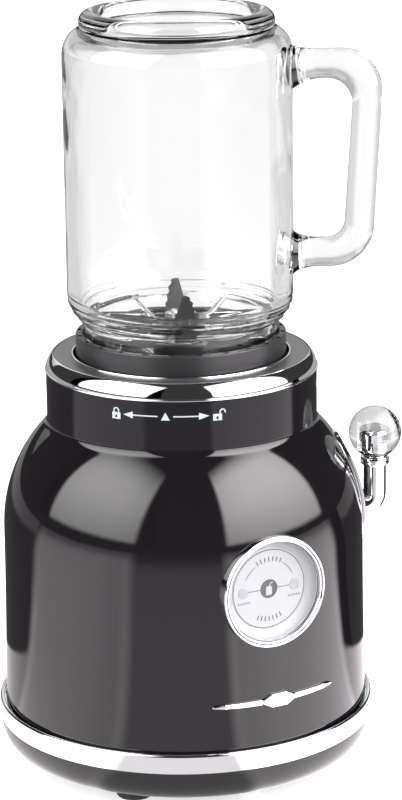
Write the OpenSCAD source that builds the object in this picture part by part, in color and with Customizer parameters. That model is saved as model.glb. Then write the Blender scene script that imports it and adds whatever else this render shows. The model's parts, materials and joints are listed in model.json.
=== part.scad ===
// Retro countertop blender: motor base, bayonet blade cup and an inverted glass mug.
// Origin: on the base's axis at table level. +Z is up, the front faces -Y and the lever is on +X.
// Plan angles are counter-clockwise from +X.

/* [Feet and pan] */
// Radius of a rubber foot
foot_r = 7.2; // [6:0.1:7.5]
// Distance from the axis to a foot's centre
foot_circle_r = 57; // [55:0.5:57.5]
// Plan angle of the first foot
foot_angle = -117; // [-125:1:-110]
// Height of the pan's flat underside above the table
pan_z = 3; // [2.5:0.1:3.5]
// Radius of the pan's rounded lower corner
pan_corner_r = 14.2; // [13:0.1:14.3]
// Wall of the pan
pan_wall = 2.5; // [2:0.1:3]
// Number of air slots in the pan's floor
vent_count = 16; // [8:4:20]

/* [Base band] */
// Radius of the chrome band, the widest part of the base
base_r = 75; // [74.5:0.1:76]
// Height of the band
band_h = 7.3; // [6.5:0.1:8]

/* [Body shell] */
// Radius of the shell where its straight wall meets the dome
body_r = 71.5; // [71:0.1:72]
// How far the wall flares outwards from there to the foot of the shell
flare = 1.2; // [0.5:0.1:1.3]
// Radius of the dome's arc in section
dome_arc_r = 59.2; // [58.5:0.1:60]
// Height of the centre of that arc
dome_z = 95.2; // [94:0.1:96]
// Radius of the collar above the dome
collar_r = 53.3; // [53:0.1:54]
// Height of the collar's upper edge
collar_z = 158.8; // [158:0.1:159.5]
// Wall of the shell
shell_wall = 2.2; // [2:0.1:2.5]

/* [Top] */
// Height of the top plate
plate_z = 165; // [164.5:0.1:166]
// Outer radius of the top plate
plate_r = 50.4; // [50:0.1:50.8]
// Radius of the opening that takes the blade cup
mouth_r = 42.4; // [42.3:0.1:42.8]
// Inner radius of the drive socket below the opening
socket_r = 43.4; // [43.2:0.1:43.6]
// Height of the drive socket's floor
socket_floor_z = 136; // [135:0.1:136.1]

/* [Blade cup] */
// Outer radius of the cup's rim
cup_rim_r = 41.3; // [41:0.1:41.5]
// Outer radius of the cup inside the socket
cup_r = 40.3; // [40:0.1:40.3]
// Inner radius of the cup
cup_bore_r = 38.3; // [38.2:0.1:38.5]
// Height of the cup's rim
cup_top_z = 173.1; // [172.5:0.1:174]
// Number of bayonet lugs, each with its ledge in the socket
lug_count = 4; // [4:1:4]
// Width of a lug, in degrees
lug_span = 30; // [24:1:30]
// Pitch of the jar thread
thread_pitch = 5; // [4.5:0.5:5.5]

/* [Jar] */
// Outer radius of the glass
jar_r = 44.3; // [43.5:0.1:45]
// Thickness of the glass
jar_wall = 4.3; // [3.8:0.1:4.5]
// Outer radius of the neck above the cup
neck_r = 37.8; // [37.5:0.1:37.9]
// Outer radius of the neck under its thread
finish_r = 36.4; // [36.2:0.1:36.6]
// Height of the jar's mouth, which points down
mouth_z = 155; // [154.5:0.1:155.5]
// Height where the lower shoulder meets the straight wall
shoulder_z = 190; // [188:0.5:191]
// Height where the upper shoulder leaves the straight wall
crown_z = 283; // [280:0.5:284]
// Radius of the ring that the jar stands on when it is a mug
rim_bead_r = 4.6; // [4.2:0.1:4.8]

/* [Handle] */
// Radius of the handle's glass rod
rod_r = 5.8; // [5.4:0.1:6]
// Plan angle of the handle
handle_angle = -6; // [-15:1:10]
// Height of the upper arm
arm_top_z = 278; // [276:0.5:278]
// Height of the lower arm
arm_low_z = 204; // [202:0.5:206]
// Distance from the axis to the grip at its upper end
grip_top_x = 72.9; // [70:0.1:75]
// Distance from the axis to the grip at its lower end
grip_low_x = 70; // [68:0.1:72]

/* [Dial] */
// Plan angle of the dial
dial_angle = -67.5; // [-80:0.5:-60]
// Height of the dial's centre
dial_z = 86; // [80:0.5:88]
// Outer radius of the bezel
bezel_r = 22; // [21:0.1:23]
// Distance from the axis to the bezel's front
bezel_front = 72.8; // [72.7:0.1:74]

/* [Lever] */
// Height of the lever's shaft
lever_z = 98; // [97:0.5:99]
// Radius of the lever's rod
lever_r = 4.5; // [4:0.1:4.6]
// Distance from the axis to the lever's upright stem
lever_x = 77.3; // [77:0.1:79]
// Radius of the ball knob
knob_r = 10.5; // [9.5:0.1:11]
// Height of the knob's centre
knob_z = 128.2; // [126:0.1:130]
// Half the width of the chrome plate behind the lever
plate_half_w = 9.5; // [9:0.1:10]

/* [Motor] */
// Radius of the stator
stator_r = 30; // [28:0.5:30]
// Height of the stator's lower face
stator_z = 62; // [60:0.5:63]
// Length of the stator
stator_h = 30; // [28:0.5:31]
// Radius of the rotor
rotor_r = 17; // [16:0.1:17.2]
// Radius of the motor's shaft
shaft_r = 4; // [3.8:0.1:4.2]

/* [Hidden] */
$fn = 96;

// Heights up the base
band_z = pan_z + pan_corner_r;
shell_z = band_z + 1.8;
band_top_z = band_z + band_h;
pan_floor_z = pan_z + pan_wall;
pan_flat_r = base_r - 0.4 - pan_corner_r;
dome_x = body_r - dome_arc_r;
flare_steps = 6;
cut = 1;

// Chrome ring around the top plate: an arc that starts upright at the collar
ring_rise = plate_z - collar_z;
ring_inset = collar_r - plate_r;
ring_arc_r = (ring_rise * ring_rise + ring_inset * ring_inset) / (2 * ring_inset);
ring_inner_r = 48;
plate_t = 2;
flange_t = 3;
lip_w = 0.8;
socket_wall = 2.2;
socket_floor_t = 3;

// Fasteners of the base
foot_stub_r = 2.5;
base_screw_count = 4;
base_screw_circle_r = 60;
base_screw_angle = foot_angle + 45;
base_screw_r = 1.8;
screw_head_r = 4;
boss_r = 5;
boss_top_z = 46;

// Bayonet: the lugs run under ledges when the cup turns clockwise, seen from above
lug_angle = 45;
lug_r = mouth_r - 0.4;
lug_z = 143;
lug_h = 4;
ledge_gap = 0.6;
ledge_h = 4.4;
ledge_span = 40;
ledge_r = cup_r + 0.4;
stop_offset = 41;
stop_span = 4;

// Interlock pin, which the last lug passes over at the end of the turn
pin_r = 1.2;
pin_circle_r = (cup_r + socket_r) / 2 + 0.25;
pin_angle = lug_angle + 180 - 36;
pin_top_z = 145.5;
pin_collar_z = 128;
pin_foot_z = 112;
spring_seat_z = 116;

// Blade cup
cup_low_z = socket_floor_z + 0.2;
cup_step_z = 161;
cup_floor_z = 150;
cup_floor_t = 3;
hub_r = 11;
hub_top_z = 172;
bush_r = 7;
bush_flange_r = 9;
running_gap = 0.05;
notch_count = 24;

// Jar: both shoulders are arcs that start upright at the straight wall
shoulder_arc_r = 14.1;
crown_arc_r = 10.5;
bead_centre_r = 33.5;
bead_z = 295.6;
punt_z = 294;
finish_top_z = 170.6;
thread_steps = 12;
thread_bead_w = 1.2;
thread_bead_h = 1.6;
thread_z = 160.6;
jar_thread_start = 130;
jar_thread_z = thread_z + thread_pitch * (jar_thread_start / 360 - 0.5);

// Handle: the grip leans by grip_lean, and an arc joins each of its ends to an arm.
// root_steps lists how far outside the wall each ring of a root is, and its radius.
grip_lean = atan((grip_top_x - grip_low_x) / (arm_top_z - arm_low_z - 16));
corner_top_r = 10.2;
corner_low_r = 7.2;
corner_top_x = grip_top_x - corner_top_r;
corner_low_x = grip_low_x - corner_low_r;
corner_top_z = arm_top_z - corner_top_r;
corner_low_z = arm_low_z + corner_low_r;
root_steps = [[-2.2, rod_r + 1.8], [1.5, rod_r + 1.3], [4.5, rod_r + 0.4], [8, rod_r]];
bend_steps = 9;
rod_sides = 20;

// Dial, along its own outward axis
dial_tube_r = 20.4;
dial_back = 57;
dial_seat = 67;
dial_fit = 0.04;
dial_face_t = 1;
lens_back = 71;
lens_t = 1;
window_r = 19.6;
light_offset = 11.3;
light_r = 1.9;

// Cord bushing at the back
cord_z = 33;

// Badge on the wall of the shell
badge_angle = -66.5;
badge_z = 42.5;
badge_span = 43;
badge_t = 1.2;
badge_r = shell_r(badge_z - 3.2) + 0.03;

// Lever and what it works
bend_r = lever_r + 0.1;
insert_r = 4.6;
insert_h = 12.4;
lever_inner_x = 38;
bush_wall = 2;
plate_low_z = 84;
plate_high_z = 130;
plate_gauge = 1.2;
plate_steps = 12;
cam_r = 7;
cam_throw = 3;
cam_x = 40;
cam_t = 6;
plunger_x = cam_x + cam_t / 2;
plunger_top_z = lever_z - cam_r - 0.4;
plunger_head_r = 4;
plunger_r = 2;
switch_z = 66;
switch_h = 18;

// Control board, upright beside the motor
board_x = -50.6;
board_t = 1.6;
board_post_y = 19;

// Motor
motor_screw_count = 4;
motor_screw_circle_r = 33;
motor_screw_r = 2;
lower_bracket_z = 32;
upper_bracket_z = 116;
bracket_t = 4;
bearing_r = 9;
bearing_h = 6;
winding_h = 8;
coupling_z = 137.5;
coupling_r = 12;
coupling_core_r = 6;
dog_inner_r = 6.6;
dog_span = 24;
dog_count = 4;
dog_angle = 20;
dog_play = 51;

// Blades
blade_z = 175.4;
blade_t = 1.2;
blade_hub_r = 7;

// ---------- shared shapes ----------

// Outer radius of the shell below its collar
function shell_r(z) = z < dome_z
    ? body_r + flare * pow((dome_z - z) / (dome_z - shell_z), 2)
    : dome_x + sqrt(dome_arc_r * dome_arc_r - (z - dome_z) * (z - dome_z));

module ring(outer_r, inner_r, z, h) {
    translate([0, 0, z])
        difference() {
            cylinder(r = outer_r, h = h);
            translate([0, 0, -cut]) cylinder(r = inner_r, h = h + 2 * cut);
        }
}

module arc_block(inner_r, outer_r, z, h, middle, span) {
    rotate([0, 0, middle - span / 2])
        rotate_extrude(angle = span)
            translate([inner_r, z]) square([outer_r - inner_r, h]);
}

module around(count, first) {
    for (i = [0 : count - 1])
        rotate([0, 0, first + i * 360 / count]) children();
}

module post(r, z, h) {
    translate([0, 0, z]) cylinder(r = r, h = h);
}

// Children point outwards along +Z from the base's axis at the given height
module outwards(angle, z) {
    rotate([0, 0, angle]) translate([0, 0, z]) rotate([0, 90, 0]) children();
}

// Solid half section of the shell, drawn smaller by inset
module shell_section(inset) {
    square([collar_r - inset, collar_z - inset]);
    intersection() {
        translate([dome_x, dome_z]) circle(r = dome_arc_r - inset);
        translate([0, dome_z]) square([base_r, base_r]);
    }
    polygon(concat(
        [[0, shell_z], [0, dome_z]],
        [for (i = [0 : flare_steps])
            let (t = i / flare_steps)
            [body_r + flare * t * t - inset, dome_z + (shell_z - dome_z) * t]]));
}

module shell_solid(inset) {
    rotate_extrude() intersection() {
        shell_section(inset);
        translate([0, shell_z]) square([base_r, collar_z]);
    }
}

// Wire coil along +Z with closed ends
module coil(coil_r, wire_r, length, turns) {
    sides = 6;
    steps = turns * 14;
    points = [for (i = [0 : steps], k = [0 : sides - 1])
        let (a = 360 * turns * i / steps, b = 360 * k / sides, r = coil_r + wire_r * cos(b))
        [r * cos(a), r * sin(a), wire_r + (length - 2 * wire_r) * i / steps + wire_r * sin(b)]];
    walls = [for (i = [0 : steps - 1], k = [0 : sides - 1], half = [0, 1])
        let (a = i * sides + k, b = i * sides + (k + 1) % sides, c = b + sides, d = a + sides)
        half == 0 ? [a, b, c] : [a, c, d]];
    caps = [
        [for (k = [sides - 1 : -1 : 0]) k],
        [for (k = [0 : sides - 1]) steps * sides + k]
    ];
    polyhedron(points = points, faces = concat(walls, caps));
}

// Interrupted thread that climbs in short level steps
module thread_ridge(inner_r, outer_r, z, first, span) {
    step = 360 / thread_steps;
    for (i = [0 : floor(span / step) - 1])
        arc_block(inner_r, outer_r, z + thread_pitch * i / thread_steps, thread_bead_h,
            first + (i + 0.5) * step, step - 3);
}

// ---------- base: pan, feet, band and shell ----------

module pan_section(inset) {
    translate([0, pan_z + inset]) square([pan_flat_r, pan_corner_r - inset]);
    intersection() {
        translate([pan_flat_r, band_z]) circle(r = pan_corner_r - inset);
        translate([0, pan_z]) square([base_r, pan_corner_r]);
    }
}

module base_pan() {
    slot_l = 10.5;
    slot_w = 3;
    color([0.05, 0.05, 0.06]) difference() {
        union() {
            difference() {
                rotate_extrude() pan_section(0);
                rotate_extrude() translate([0, 0.01]) pan_section(pan_wall);
            }
            around(base_screw_count, base_screw_angle)
                translate([base_screw_circle_r, 0, 0])
                    post(boss_r, pan_floor_z - 0.5, shell_z - pan_floor_z + 0.5);
            around(motor_screw_count, 45)
                translate([motor_screw_circle_r, 0, 0]) post(boss_r, pan_floor_z - 0.5, 19);
            for (side = [-1, 1])
                translate([board_x - 1.4, side * board_post_y - 2, pan_floor_z - 0.5]) cube([5.6, 4, 24]);
        }
        around(base_screw_count, base_screw_angle)
            translate([base_screw_circle_r, 0, 0]) {
                post(base_screw_r, 0, shell_z + cut);
                post(screw_head_r, 0, pan_floor_z);
            }
        around(motor_screw_count, 45)
            translate([motor_screw_circle_r, 0, 0]) post(motor_screw_r, 12, 20);
        around(vent_count, 11.25)
            translate([39, -slot_w / 2, 0]) cube([slot_l, slot_w, pan_floor_z + cut]);
        around(4, foot_angle)
            translate([foot_circle_r, 0, 0]) post(foot_stub_r, 0, pan_floor_z + cut);
        for (side = [-1, 1])
            translate([board_x, side * board_post_y - 2.5, pan_floor_z + 4]) cube([board_t, 5, 30]);
    }
}

module feet() {
    color([0.06, 0.06, 0.06]) around(4, foot_angle)
        translate([foot_circle_r, 0, 0]) {
            post(foot_r - 0.6, 0, 0.6);
            post(foot_r, 0.6, pan_z - 0.6);
            post(foot_stub_r - running_gap, pan_z, pan_wall);
            post(3.6, pan_floor_z, 1.4);
        }
}

module base_screws() {
    color([0.7, 0.7, 0.72]) around(base_screw_count, base_screw_angle)
        translate([base_screw_circle_r, 0, 0]) difference() {
            union() {
                post(screw_head_r, pan_z + 0.4, pan_wall - 0.4);
                post(base_screw_r, pan_floor_z, 28);
            }
            post(1.2, pan_z, 1.5);
        }
}

module base_trim_ring() {
    round_r = 2;
    color([0.85, 0.85, 0.87]) rotate_extrude() difference() {
        union() {
            translate([68, band_z]) square([base_r - 68, 1.8]);
            translate([body_r + flare + 0.3, band_z])
                square([base_r - body_r - flare - 0.3, band_h - round_r]);
            intersection() {
                translate([base_r - round_r, band_top_z - round_r]) circle(r = round_r);
                translate([body_r + flare + 0.3, band_top_z - round_r]) square([round_r + 1, round_r]);
            }
        }
    }
}

module body_shell() {
    color([0.07, 0.06, 0.07]) difference() {
        union() {
            difference() {
                shell_solid(0);
                translate([0, 0, -0.01]) shell_solid(shell_wall);
                post(collar_r - shell_wall, dome_z, collar_z);
                post(body_r + flare - 3 * shell_wall, 0, shell_z + 2);
            }
            around(base_screw_count, base_screw_angle) {
                translate([base_screw_circle_r, 0, 0]) post(boss_r, shell_z, boss_top_z - shell_z);
                translate([base_screw_circle_r, -1.5, shell_z])
                    cube([body_r - base_screw_circle_r - 1, 3, boss_top_z - shell_z]);
            }
        }
        around(base_screw_count, base_screw_angle)
            translate([base_screw_circle_r, 0, 0]) post(base_screw_r, 0, pan_floor_z + 28);
        outwards(dial_angle, dial_z) post(dial_tube_r, dial_back, 30);
        outwards(0, lever_z) post(lever_r + bush_wall, 60, 20);
        outwards(90, cord_z) post(5, 60, 20);
    }
}

module collar_ring() {
    color([0.85, 0.85, 0.87]) rotate_extrude() difference() {
        intersection() {
            translate([collar_r - ring_arc_r, collar_z]) circle(r = ring_arc_r);
            translate([ring_inner_r, collar_z]) square([ring_arc_r, ring_rise]);
        }
        translate([0, plate_z - plate_t]) square([plate_r, 10]);
    }
}

module top_plate() {
    color([0.3, 0.3, 0.31]) ring(plate_r, mouth_r + lip_w, plate_z - plate_t, plate_t);
}

module socket_lip() {
    color([0.85, 0.85, 0.87]) ring(mouth_r + lip_w, mouth_r, plate_z - plate_t, plate_t + 0.4);
}

module drive_socket() {
    flange_z = plate_z - plate_t - flange_t;
    ledge_z = lug_z + lug_h + ledge_gap;
    color([0.12, 0.12, 0.13]) difference() {
        union() {
            ring(socket_r + socket_wall, socket_r, socket_floor_z, flange_z - socket_floor_z);
            ring(ring_inner_r, mouth_r + 0.2, flange_z, flange_t);
            ring(socket_r + socket_wall, 8, socket_floor_z - socket_floor_t, socket_floor_t);
            around(lug_count, lug_angle) {
                arc_block(ledge_r, socket_r + 0.5, ledge_z, ledge_h, -45, ledge_span);
                arc_block(ledge_r, socket_r + 0.5, socket_floor_z - 0.5, ledge_z - socket_floor_z + 1,
                    -stop_offset - stop_span / 2, stop_span);
            }
        }
        rotate([0, 0, pin_angle]) translate([pin_circle_r, 0, 0])
            post(pin_r + running_gap, socket_floor_z - 10, 12);
    }
}

module cord_bushing() {
    color([0.08, 0.08, 0.08]) outwards(90, cord_z) difference() {
        union() {
            post(5, 69.6, 5);
            post(8, body_r + flare, 2);
            post(7, 66.6, 3);
        }
        post(3.3, 60, 20);
    }
}

module badge() {
    color([0.85, 0.85, 0.87]) {
        arc_block(badge_r + 0.02, badge_r + badge_t, badge_z - 1.1, 2.2, badge_angle, badge_span);
        arc_block(badge_r, badge_r + badge_t + 0.4, badge_z - 3.2, 6.4, badge_angle, 9);
    }
}

// ---------- dial ----------

module dial_housing() {
    color([0.08, 0.08, 0.08]) outwards(dial_angle, dial_z) {
        ring(dial_tube_r, dial_tube_r - 1.5, dial_back, dial_seat - dial_back);
        post(dial_tube_r, dial_back - 1.5, 1.5);
    }
}

module dial_bezel() {
    shoulder = 1.2;
    foot = dial_seat + dial_face_t;
    color([0.85, 0.85, 0.87]) difference() {
        outwards(dial_angle, dial_z) rotate_extrude() difference() {
            union() {
                translate([window_r, foot])
                    square([bezel_r - window_r, bezel_front - shoulder - foot]);
                intersection() {
                    translate([bezel_r - shoulder, bezel_front - shoulder]) circle(r = shoulder);
                    translate([window_r, bezel_front - shoulder]) square([10, shoulder]);
                }
                translate([window_r, bezel_front - shoulder])
                    square([bezel_r - window_r - shoulder, shoulder]);
            }
            translate([0, lens_back]) square([dial_tube_r, lens_t]);
        }
        difference() {
            shell_solid(0);
            outwards(dial_angle, dial_z) post(dial_tube_r - dial_fit, dial_back, 30);
        }
    }
}

module dial_face() {
    color([0.88, 0.88, 0.88]) outwards(dial_angle, dial_z) difference() {
        post(dial_tube_r - dial_fit, dial_seat, dial_face_t);
        for (side = [-1, 1])
            translate([0, side * light_offset, 0]) post(light_r, dial_seat - cut, 5);
    }
}

module dial_lens() {
    color([0.9, 0.95, 1, 0.35]) outwards(dial_angle, dial_z) post(dial_tube_r - dial_fit, lens_back, lens_t);
}

module indicator_lights() {
    color([0.55, 0.56, 0.58]) outwards(dial_angle, dial_z) for (side = [-1, 1])
        translate([0, side * light_offset, 0]) post(light_r, 61.6, 7.4);
}

module indicator_board() {
    color([0.05, 0.3, 0.15]) outwards(dial_angle, dial_z) {
        post(dial_tube_r - 1.5, 60, 1.6);
        for (side = [-1, 1])
            translate([side * 8, -2, dial_back]) cylinder(r = 1.2, h = 3);
    }
}

// ---------- lever and power switch ----------

function plate_step_z(i) = plate_low_z + (plate_high_z - plate_low_z) * i / plate_steps;
function plate_seat_r(i) = shell_r(plate_step_z(i)) + 0.05;

module lever_escutcheon() {
    color([0.85, 0.85, 0.87]) difference() {
        intersection() {
            rotate_extrude() polygon(concat(
                [for (i = [0 : plate_steps]) [plate_seat_r(i), plate_step_z(i)]],
                [for (i = [plate_steps : -1 : 0]) [plate_seat_r(i) + plate_gauge, plate_step_z(i)]]));
            union() {
                translate([40, -plate_half_w, plate_low_z + plate_half_w])
                    cube([40, 2 * plate_half_w, plate_high_z - plate_low_z - 2 * plate_half_w]);
                outwards(0, plate_low_z + plate_half_w) post(plate_half_w, 40, 40);
                outwards(0, plate_high_z - plate_half_w) post(plate_half_w, 40, 40);
            }
        }
        outwards(0, lever_z) post(lever_r + bush_wall, 60, 20);
    }
}

module lever_bush() {
    color([0.15, 0.15, 0.15]) outwards(0, lever_z) {
        ring(lever_r + bush_wall, lever_r + running_gap, 64, 8.6);
        ring(lever_r + bush_wall + 2, lever_r + running_gap, 64, 3);
    }
}

module lever_return_spring() {
    color([0.6, 0.6, 0.62]) outwards(0, lever_z) translate([0, 0, 50]) coil(7, 0.6, 10, 5);
}

module lever_arm() {
    stem_z = lever_z + bend_r;
    stem_top_z = knob_z - knob_r + 0.6;
    color([0.85, 0.85, 0.87]) {
        outwards(0, lever_z) post(lever_r, lever_inner_x, lever_x - bend_r - lever_inner_x);
        translate([lever_x - bend_r, 0, stem_z])
            rotate([90, 0, 0]) rotate([0, 0, -90])
                rotate_extrude(angle = 90) translate([bend_r, 0]) circle(r = lever_r);
        translate([lever_x, 0, 0]) {
            post(lever_r, stem_z, stem_top_z - stem_z - 3);
            post(5.8, stem_top_z - 3, 3);
            post(insert_r, stem_top_z, insert_h);
        }
    }
}

module lever_knob() {
    seat_z = knob_z - knob_r + 0.6;
    color([0.95, 0.95, 0.97, 0.7]) translate([lever_x, 0, 0]) difference() {
        translate([0, 0, knob_z]) sphere(r = knob_r);
        post(insert_r, seat_z - cut, insert_h + cut);
        post(5.8, seat_z - 3, 3);
    }
}

module lever_cam() {
    color([0.9, 0.9, 0.85]) difference() {
        union() {
            outwards(0, lever_z) translate([0, -cam_throw, 0]) post(cam_r, cam_x, cam_t);
            outwards(0, lever_z) post(6.5, cam_x, cam_t);
        }
        outwards(0, lever_z) post(lever_r, cam_x - cut, cam_t + 2 * cut);
    }
}

module switch_body() {
    color([0.1, 0.1, 0.1]) difference() {
        translate([plunger_x - 6, -8, switch_z]) cube([12, 16, switch_h]);
        translate([plunger_x, 0, 0]) post(plunger_r + running_gap, switch_z + 2, switch_h);
    }
}

module switch_bracket() {
    color([0.5, 0.5, 0.52]) {
        translate([plunger_x - 6, -8, switch_z - 3]) cube([30, 16, 3]);
        translate([plunger_x + 6, -8, switch_z - 3]) cube([2, 16, switch_h]);
    }
}

module switch_plunger() {
    color([0.8, 0.1, 0.1]) translate([plunger_x, 0, 0]) {
        post(plunger_head_r, plunger_top_z - 1.6, 1.6);
        post(plunger_r, 74, plunger_top_z - 75.6);
    }
}

// ---------- interlock and electronics ----------

module at_pin() {
    rotate([0, 0, pin_angle]) translate([pin_circle_r, 0, 0]) children();
}

module interlock_switch() {
    color([0.1, 0.1, 0.1]) at_pin() difference() {
        union() {
            translate([-6, -8, 100]) cube([12, 16, spring_seat_z - 100]);
            translate([2, -3, 113]) cube([8.5, 6, 3]);
            ring(5.6, 3.4, spring_seat_z, socket_floor_z - socket_floor_t - spring_seat_z);
        }
        post(pin_r + running_gap, pin_foot_z - 5, 20);
    }
}

module interlock_spring() {
    color([0.6, 0.6, 0.62]) at_pin() translate([0, 0, spring_seat_z])
        coil(2.3, 0.4, pin_collar_z - spring_seat_z, 6);
}

module interlock_pin() {
    color([0.9, 0.9, 0.85]) at_pin() {
        post(pin_r, pin_foot_z, pin_top_z - pin_foot_z);
        post(2.9, pin_collar_z, 1.4);
    }
}

module control_board() {
    color([0.05, 0.3, 0.15]) {
        translate([board_x, -24, pan_floor_z + 4]) cube([board_t, 48, 48]);
        translate([board_x + board_t, 0, 0]) {
            translate([0, -14, 34]) cube([9, 12, 10]);
            translate([0, 4, 30]) cube([7, 10, 16]);
            translate([0, 8, 50]) rotate([0, 90, 0]) cylinder(r = 5, h = 11);
            translate([0, -10, 50]) rotate([0, 90, 0]) cylinder(r = 3, h = 4);
        }
    }
}

// ---------- motor ----------

module at_motor_screws() {
    around(motor_screw_count, 45) translate([motor_screw_circle_r, 0, 0]) children();
}

module motor_mounts() {
    color([0.1, 0.1, 0.1]) at_motor_screws()
        ring(6, motor_screw_r, pan_floor_z + 18.5, lower_bracket_z - pan_floor_z - 18.5);
}

// Bracket with four arms, and a hub whose bore takes a bearing
module bracket(z, hub_h) {
    color([0.6, 0.6, 0.62]) difference() {
        union() {
            post(12, z, hub_h);
            for (turn = [45, 135])
                rotate([0, 0, turn]) translate([-motor_screw_circle_r, -5, z])
                    cube([2 * motor_screw_circle_r, 10, bracket_t]);
            at_motor_screws() post(5, z, bracket_t);
        }
        post(bearing_r, z + 2, hub_h);
        post(shaft_r + 1, z - cut, hub_h + 2 * cut);
        at_motor_screws() post(motor_screw_r, z - cut, bracket_t + 2 * cut);
    }
}

module motor_lower_bracket() {
    bracket(lower_bracket_z, bearing_h + 2);
}

module motor_upper_bracket() {
    bracket(upper_bracket_z, bearing_h + 2);
}

module motor_screws() {
    color([0.7, 0.7, 0.72]) at_motor_screws() {
        post(motor_screw_r, 12, upper_bracket_z + bracket_t - 12);
        post(3.6, upper_bracket_z + bracket_t, 2.4);
    }
}

module motor_stator() {
    window_span = 96;
    color([0.45, 0.45, 0.48]) {
        difference() {
            post(stator_r, stator_z, stator_h);
            post(rotor_r + 0.6, stator_z - cut, stator_h + 2 * cut);
            for (side = [90, 270])
                arc_block(19.5, 25.5, stator_z - cut, stator_h + 2 * cut, side, window_span);
        }
        for (turn = [0, 90, 180, 270])
            rotate([0, 0, 45 + turn]) difference() {
                translate([stator_r - 1, -4, stator_z + 4]) cube([3.5, 8, stator_h - 8]);
                translate([motor_screw_circle_r, 0, 0]) post(motor_screw_r, 0, 200);
            }
    }
}

module motor_coils() {
    overhang = 6;
    color([0.72, 0.4, 0.2]) for (side = [90, 270])
        arc_block(19.8, 25.2, stator_z - overhang, stator_h + 2 * overhang, side, 92);
}

module motor_brushes() {
    holder_z = 43;
    color([0.2, 0.2, 0.2]) for (side = [0, 180])
        rotate([0, 0, side]) {
            translate([9.4, -3, holder_z + 2]) cube([12, 6, 5]);
            translate([14, -5, 34]) cube([14, 2, 18]);
            translate([14, 3, 34]) cube([14, 2, 18]);
        }
}

module lower_bearing() {
    color([0.75, 0.75, 0.78])
        ring(bearing_r, shaft_r + running_gap, lower_bracket_z + 2, bearing_h);
}

module upper_bearing() {
    color([0.75, 0.75, 0.78])
        ring(bearing_r, shaft_r + running_gap, upper_bracket_z + 2, bearing_h);
}

module rotor_core() {
    slot_count = 12;
    color([0.5, 0.5, 0.53]) difference() {
        ring(rotor_r, shaft_r, stator_z, stator_h);
        around(slot_count, 15) translate([rotor_r - 1.6, 0, 0]) post(1.3, stator_z - cut, stator_h + 2 * cut);
        around(slot_count, 15)
            translate([rotor_r - 1, -0.6, stator_z - cut]) cube([2, 1.2, stator_h + 2 * cut]);
    }
}

module rotor_windings() {
    color([0.72, 0.4, 0.2]) {
        ring(14.5, shaft_r, stator_z - winding_h, winding_h);
        ring(14.5, shaft_r, stator_z + stator_h, winding_h);
    }
}

module commutator() {
    bar_count = 12;
    color([0.75, 0.45, 0.25]) difference() {
        ring(9, shaft_r, 44, stator_z - winding_h - 44);
        around(bar_count, 0) translate([8, -0.3, 43]) cube([2, 0.6, 10]);
    }
}

module cooling_fan() {
    vane_count = 9;
    fan_z = 104;
    color([0.9, 0.9, 0.88]) {
        ring(6.5, shaft_r, fan_z, 9);
        ring(27, 6, fan_z, 1.4);
        around(vane_count, 0) translate([6, -0.8, fan_z + 1]) cube([20, 1.6, 8]);
    }
}

module motor_shaft() {
    color([0.8, 0.8, 0.82]) post(shaft_r, lower_bracket_z + 1, 110);
}

module motor_coupling() {
    color([0.12, 0.12, 0.13]) {
        difference() {
            union() {
                post(coupling_core_r, 128, coupling_z - 128);
                post(coupling_r, coupling_z, 3);
                around(dog_count, dog_angle)
                    arc_block(dog_inner_r, coupling_r, coupling_z + 2, 6.5, 0, dog_span);
            }
            post(shaft_r, 120, 30);
        }
    }
}

// ---------- blade cup and blades ----------

module shaft_bush() {
    color([0.72, 0.5, 0.25]) {
        ring(bush_r, shaft_r + running_gap, cup_floor_z, 20);
        ring(bush_flange_r, shaft_r + running_gap, cup_floor_z - 1.2, 1.2);
    }
}

module blade_cup() {
    rib_count = 6;
    color([0.16, 0.16, 0.17]) difference() {
        union() {
            ring(cup_rim_r, cup_bore_r, cup_step_z, cup_top_z - cup_step_z);
            ring(cup_r, cup_bore_r, cup_low_z, cup_step_z - cup_low_z);
            ring(cup_bore_r + 0.5, bush_r + running_gap, cup_floor_z, cup_floor_t);
            ring(hub_r, bush_r + running_gap, cup_floor_z, hub_top_z - cup_floor_z);
            around(lug_count, lug_angle)
                arc_block(cup_r - 0.5, lug_r, lug_z, lug_h, 0, lug_span);
            around(rib_count, 0)
                translate([16, -1, 142]) cube([cup_bore_r - 15.6, 2, cup_floor_z - 141.5]);
            thread_ridge(cup_bore_r - 1.2, cup_bore_r + 0.4, thread_z, 0, 300);
        }
        around(notch_count, 0)
            translate([cup_rim_r - 1.1, -1.3, cup_top_z - 0.8]) cube([3, 2.6, 3]);
    }
}

module shaft_seal() {
    color([0.08, 0.08, 0.08])
        ring(bush_r + running_gap, shaft_r + running_gap, cup_floor_z + 20.2, 1.8);
}

module jar_gasket() {
    color([0.85, 0.85, 0.85]) ring(cup_bore_r - 0.4, 32.6, cup_floor_z + cup_floor_t, mouth_z - cup_floor_z - cup_floor_t);
}

// Half section of the jar's outer or inner surface, from the neck to the closed end
module jar_section(inset, neck, low_z) {
    translate([0, low_z]) square([neck, shoulder_z - low_z]);
    intersection() {
        translate([jar_r - shoulder_arc_r, shoulder_z]) circle(r = shoulder_arc_r - inset);
        translate([0, shoulder_z - shoulder_arc_r]) square([jar_r, shoulder_arc_r]);
    }
    translate([0, shoulder_z]) square([jar_r - inset, crown_z - shoulder_z]);
    intersection() {
        translate([jar_r - crown_arc_r, crown_z]) circle(r = crown_arc_r - inset);
        translate([0, crown_z]) square([jar_r, crown_arc_r]);
    }
    translate([0, crown_z]) square([jar_r - crown_arc_r, crown_arc_r - inset]);
}

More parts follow.
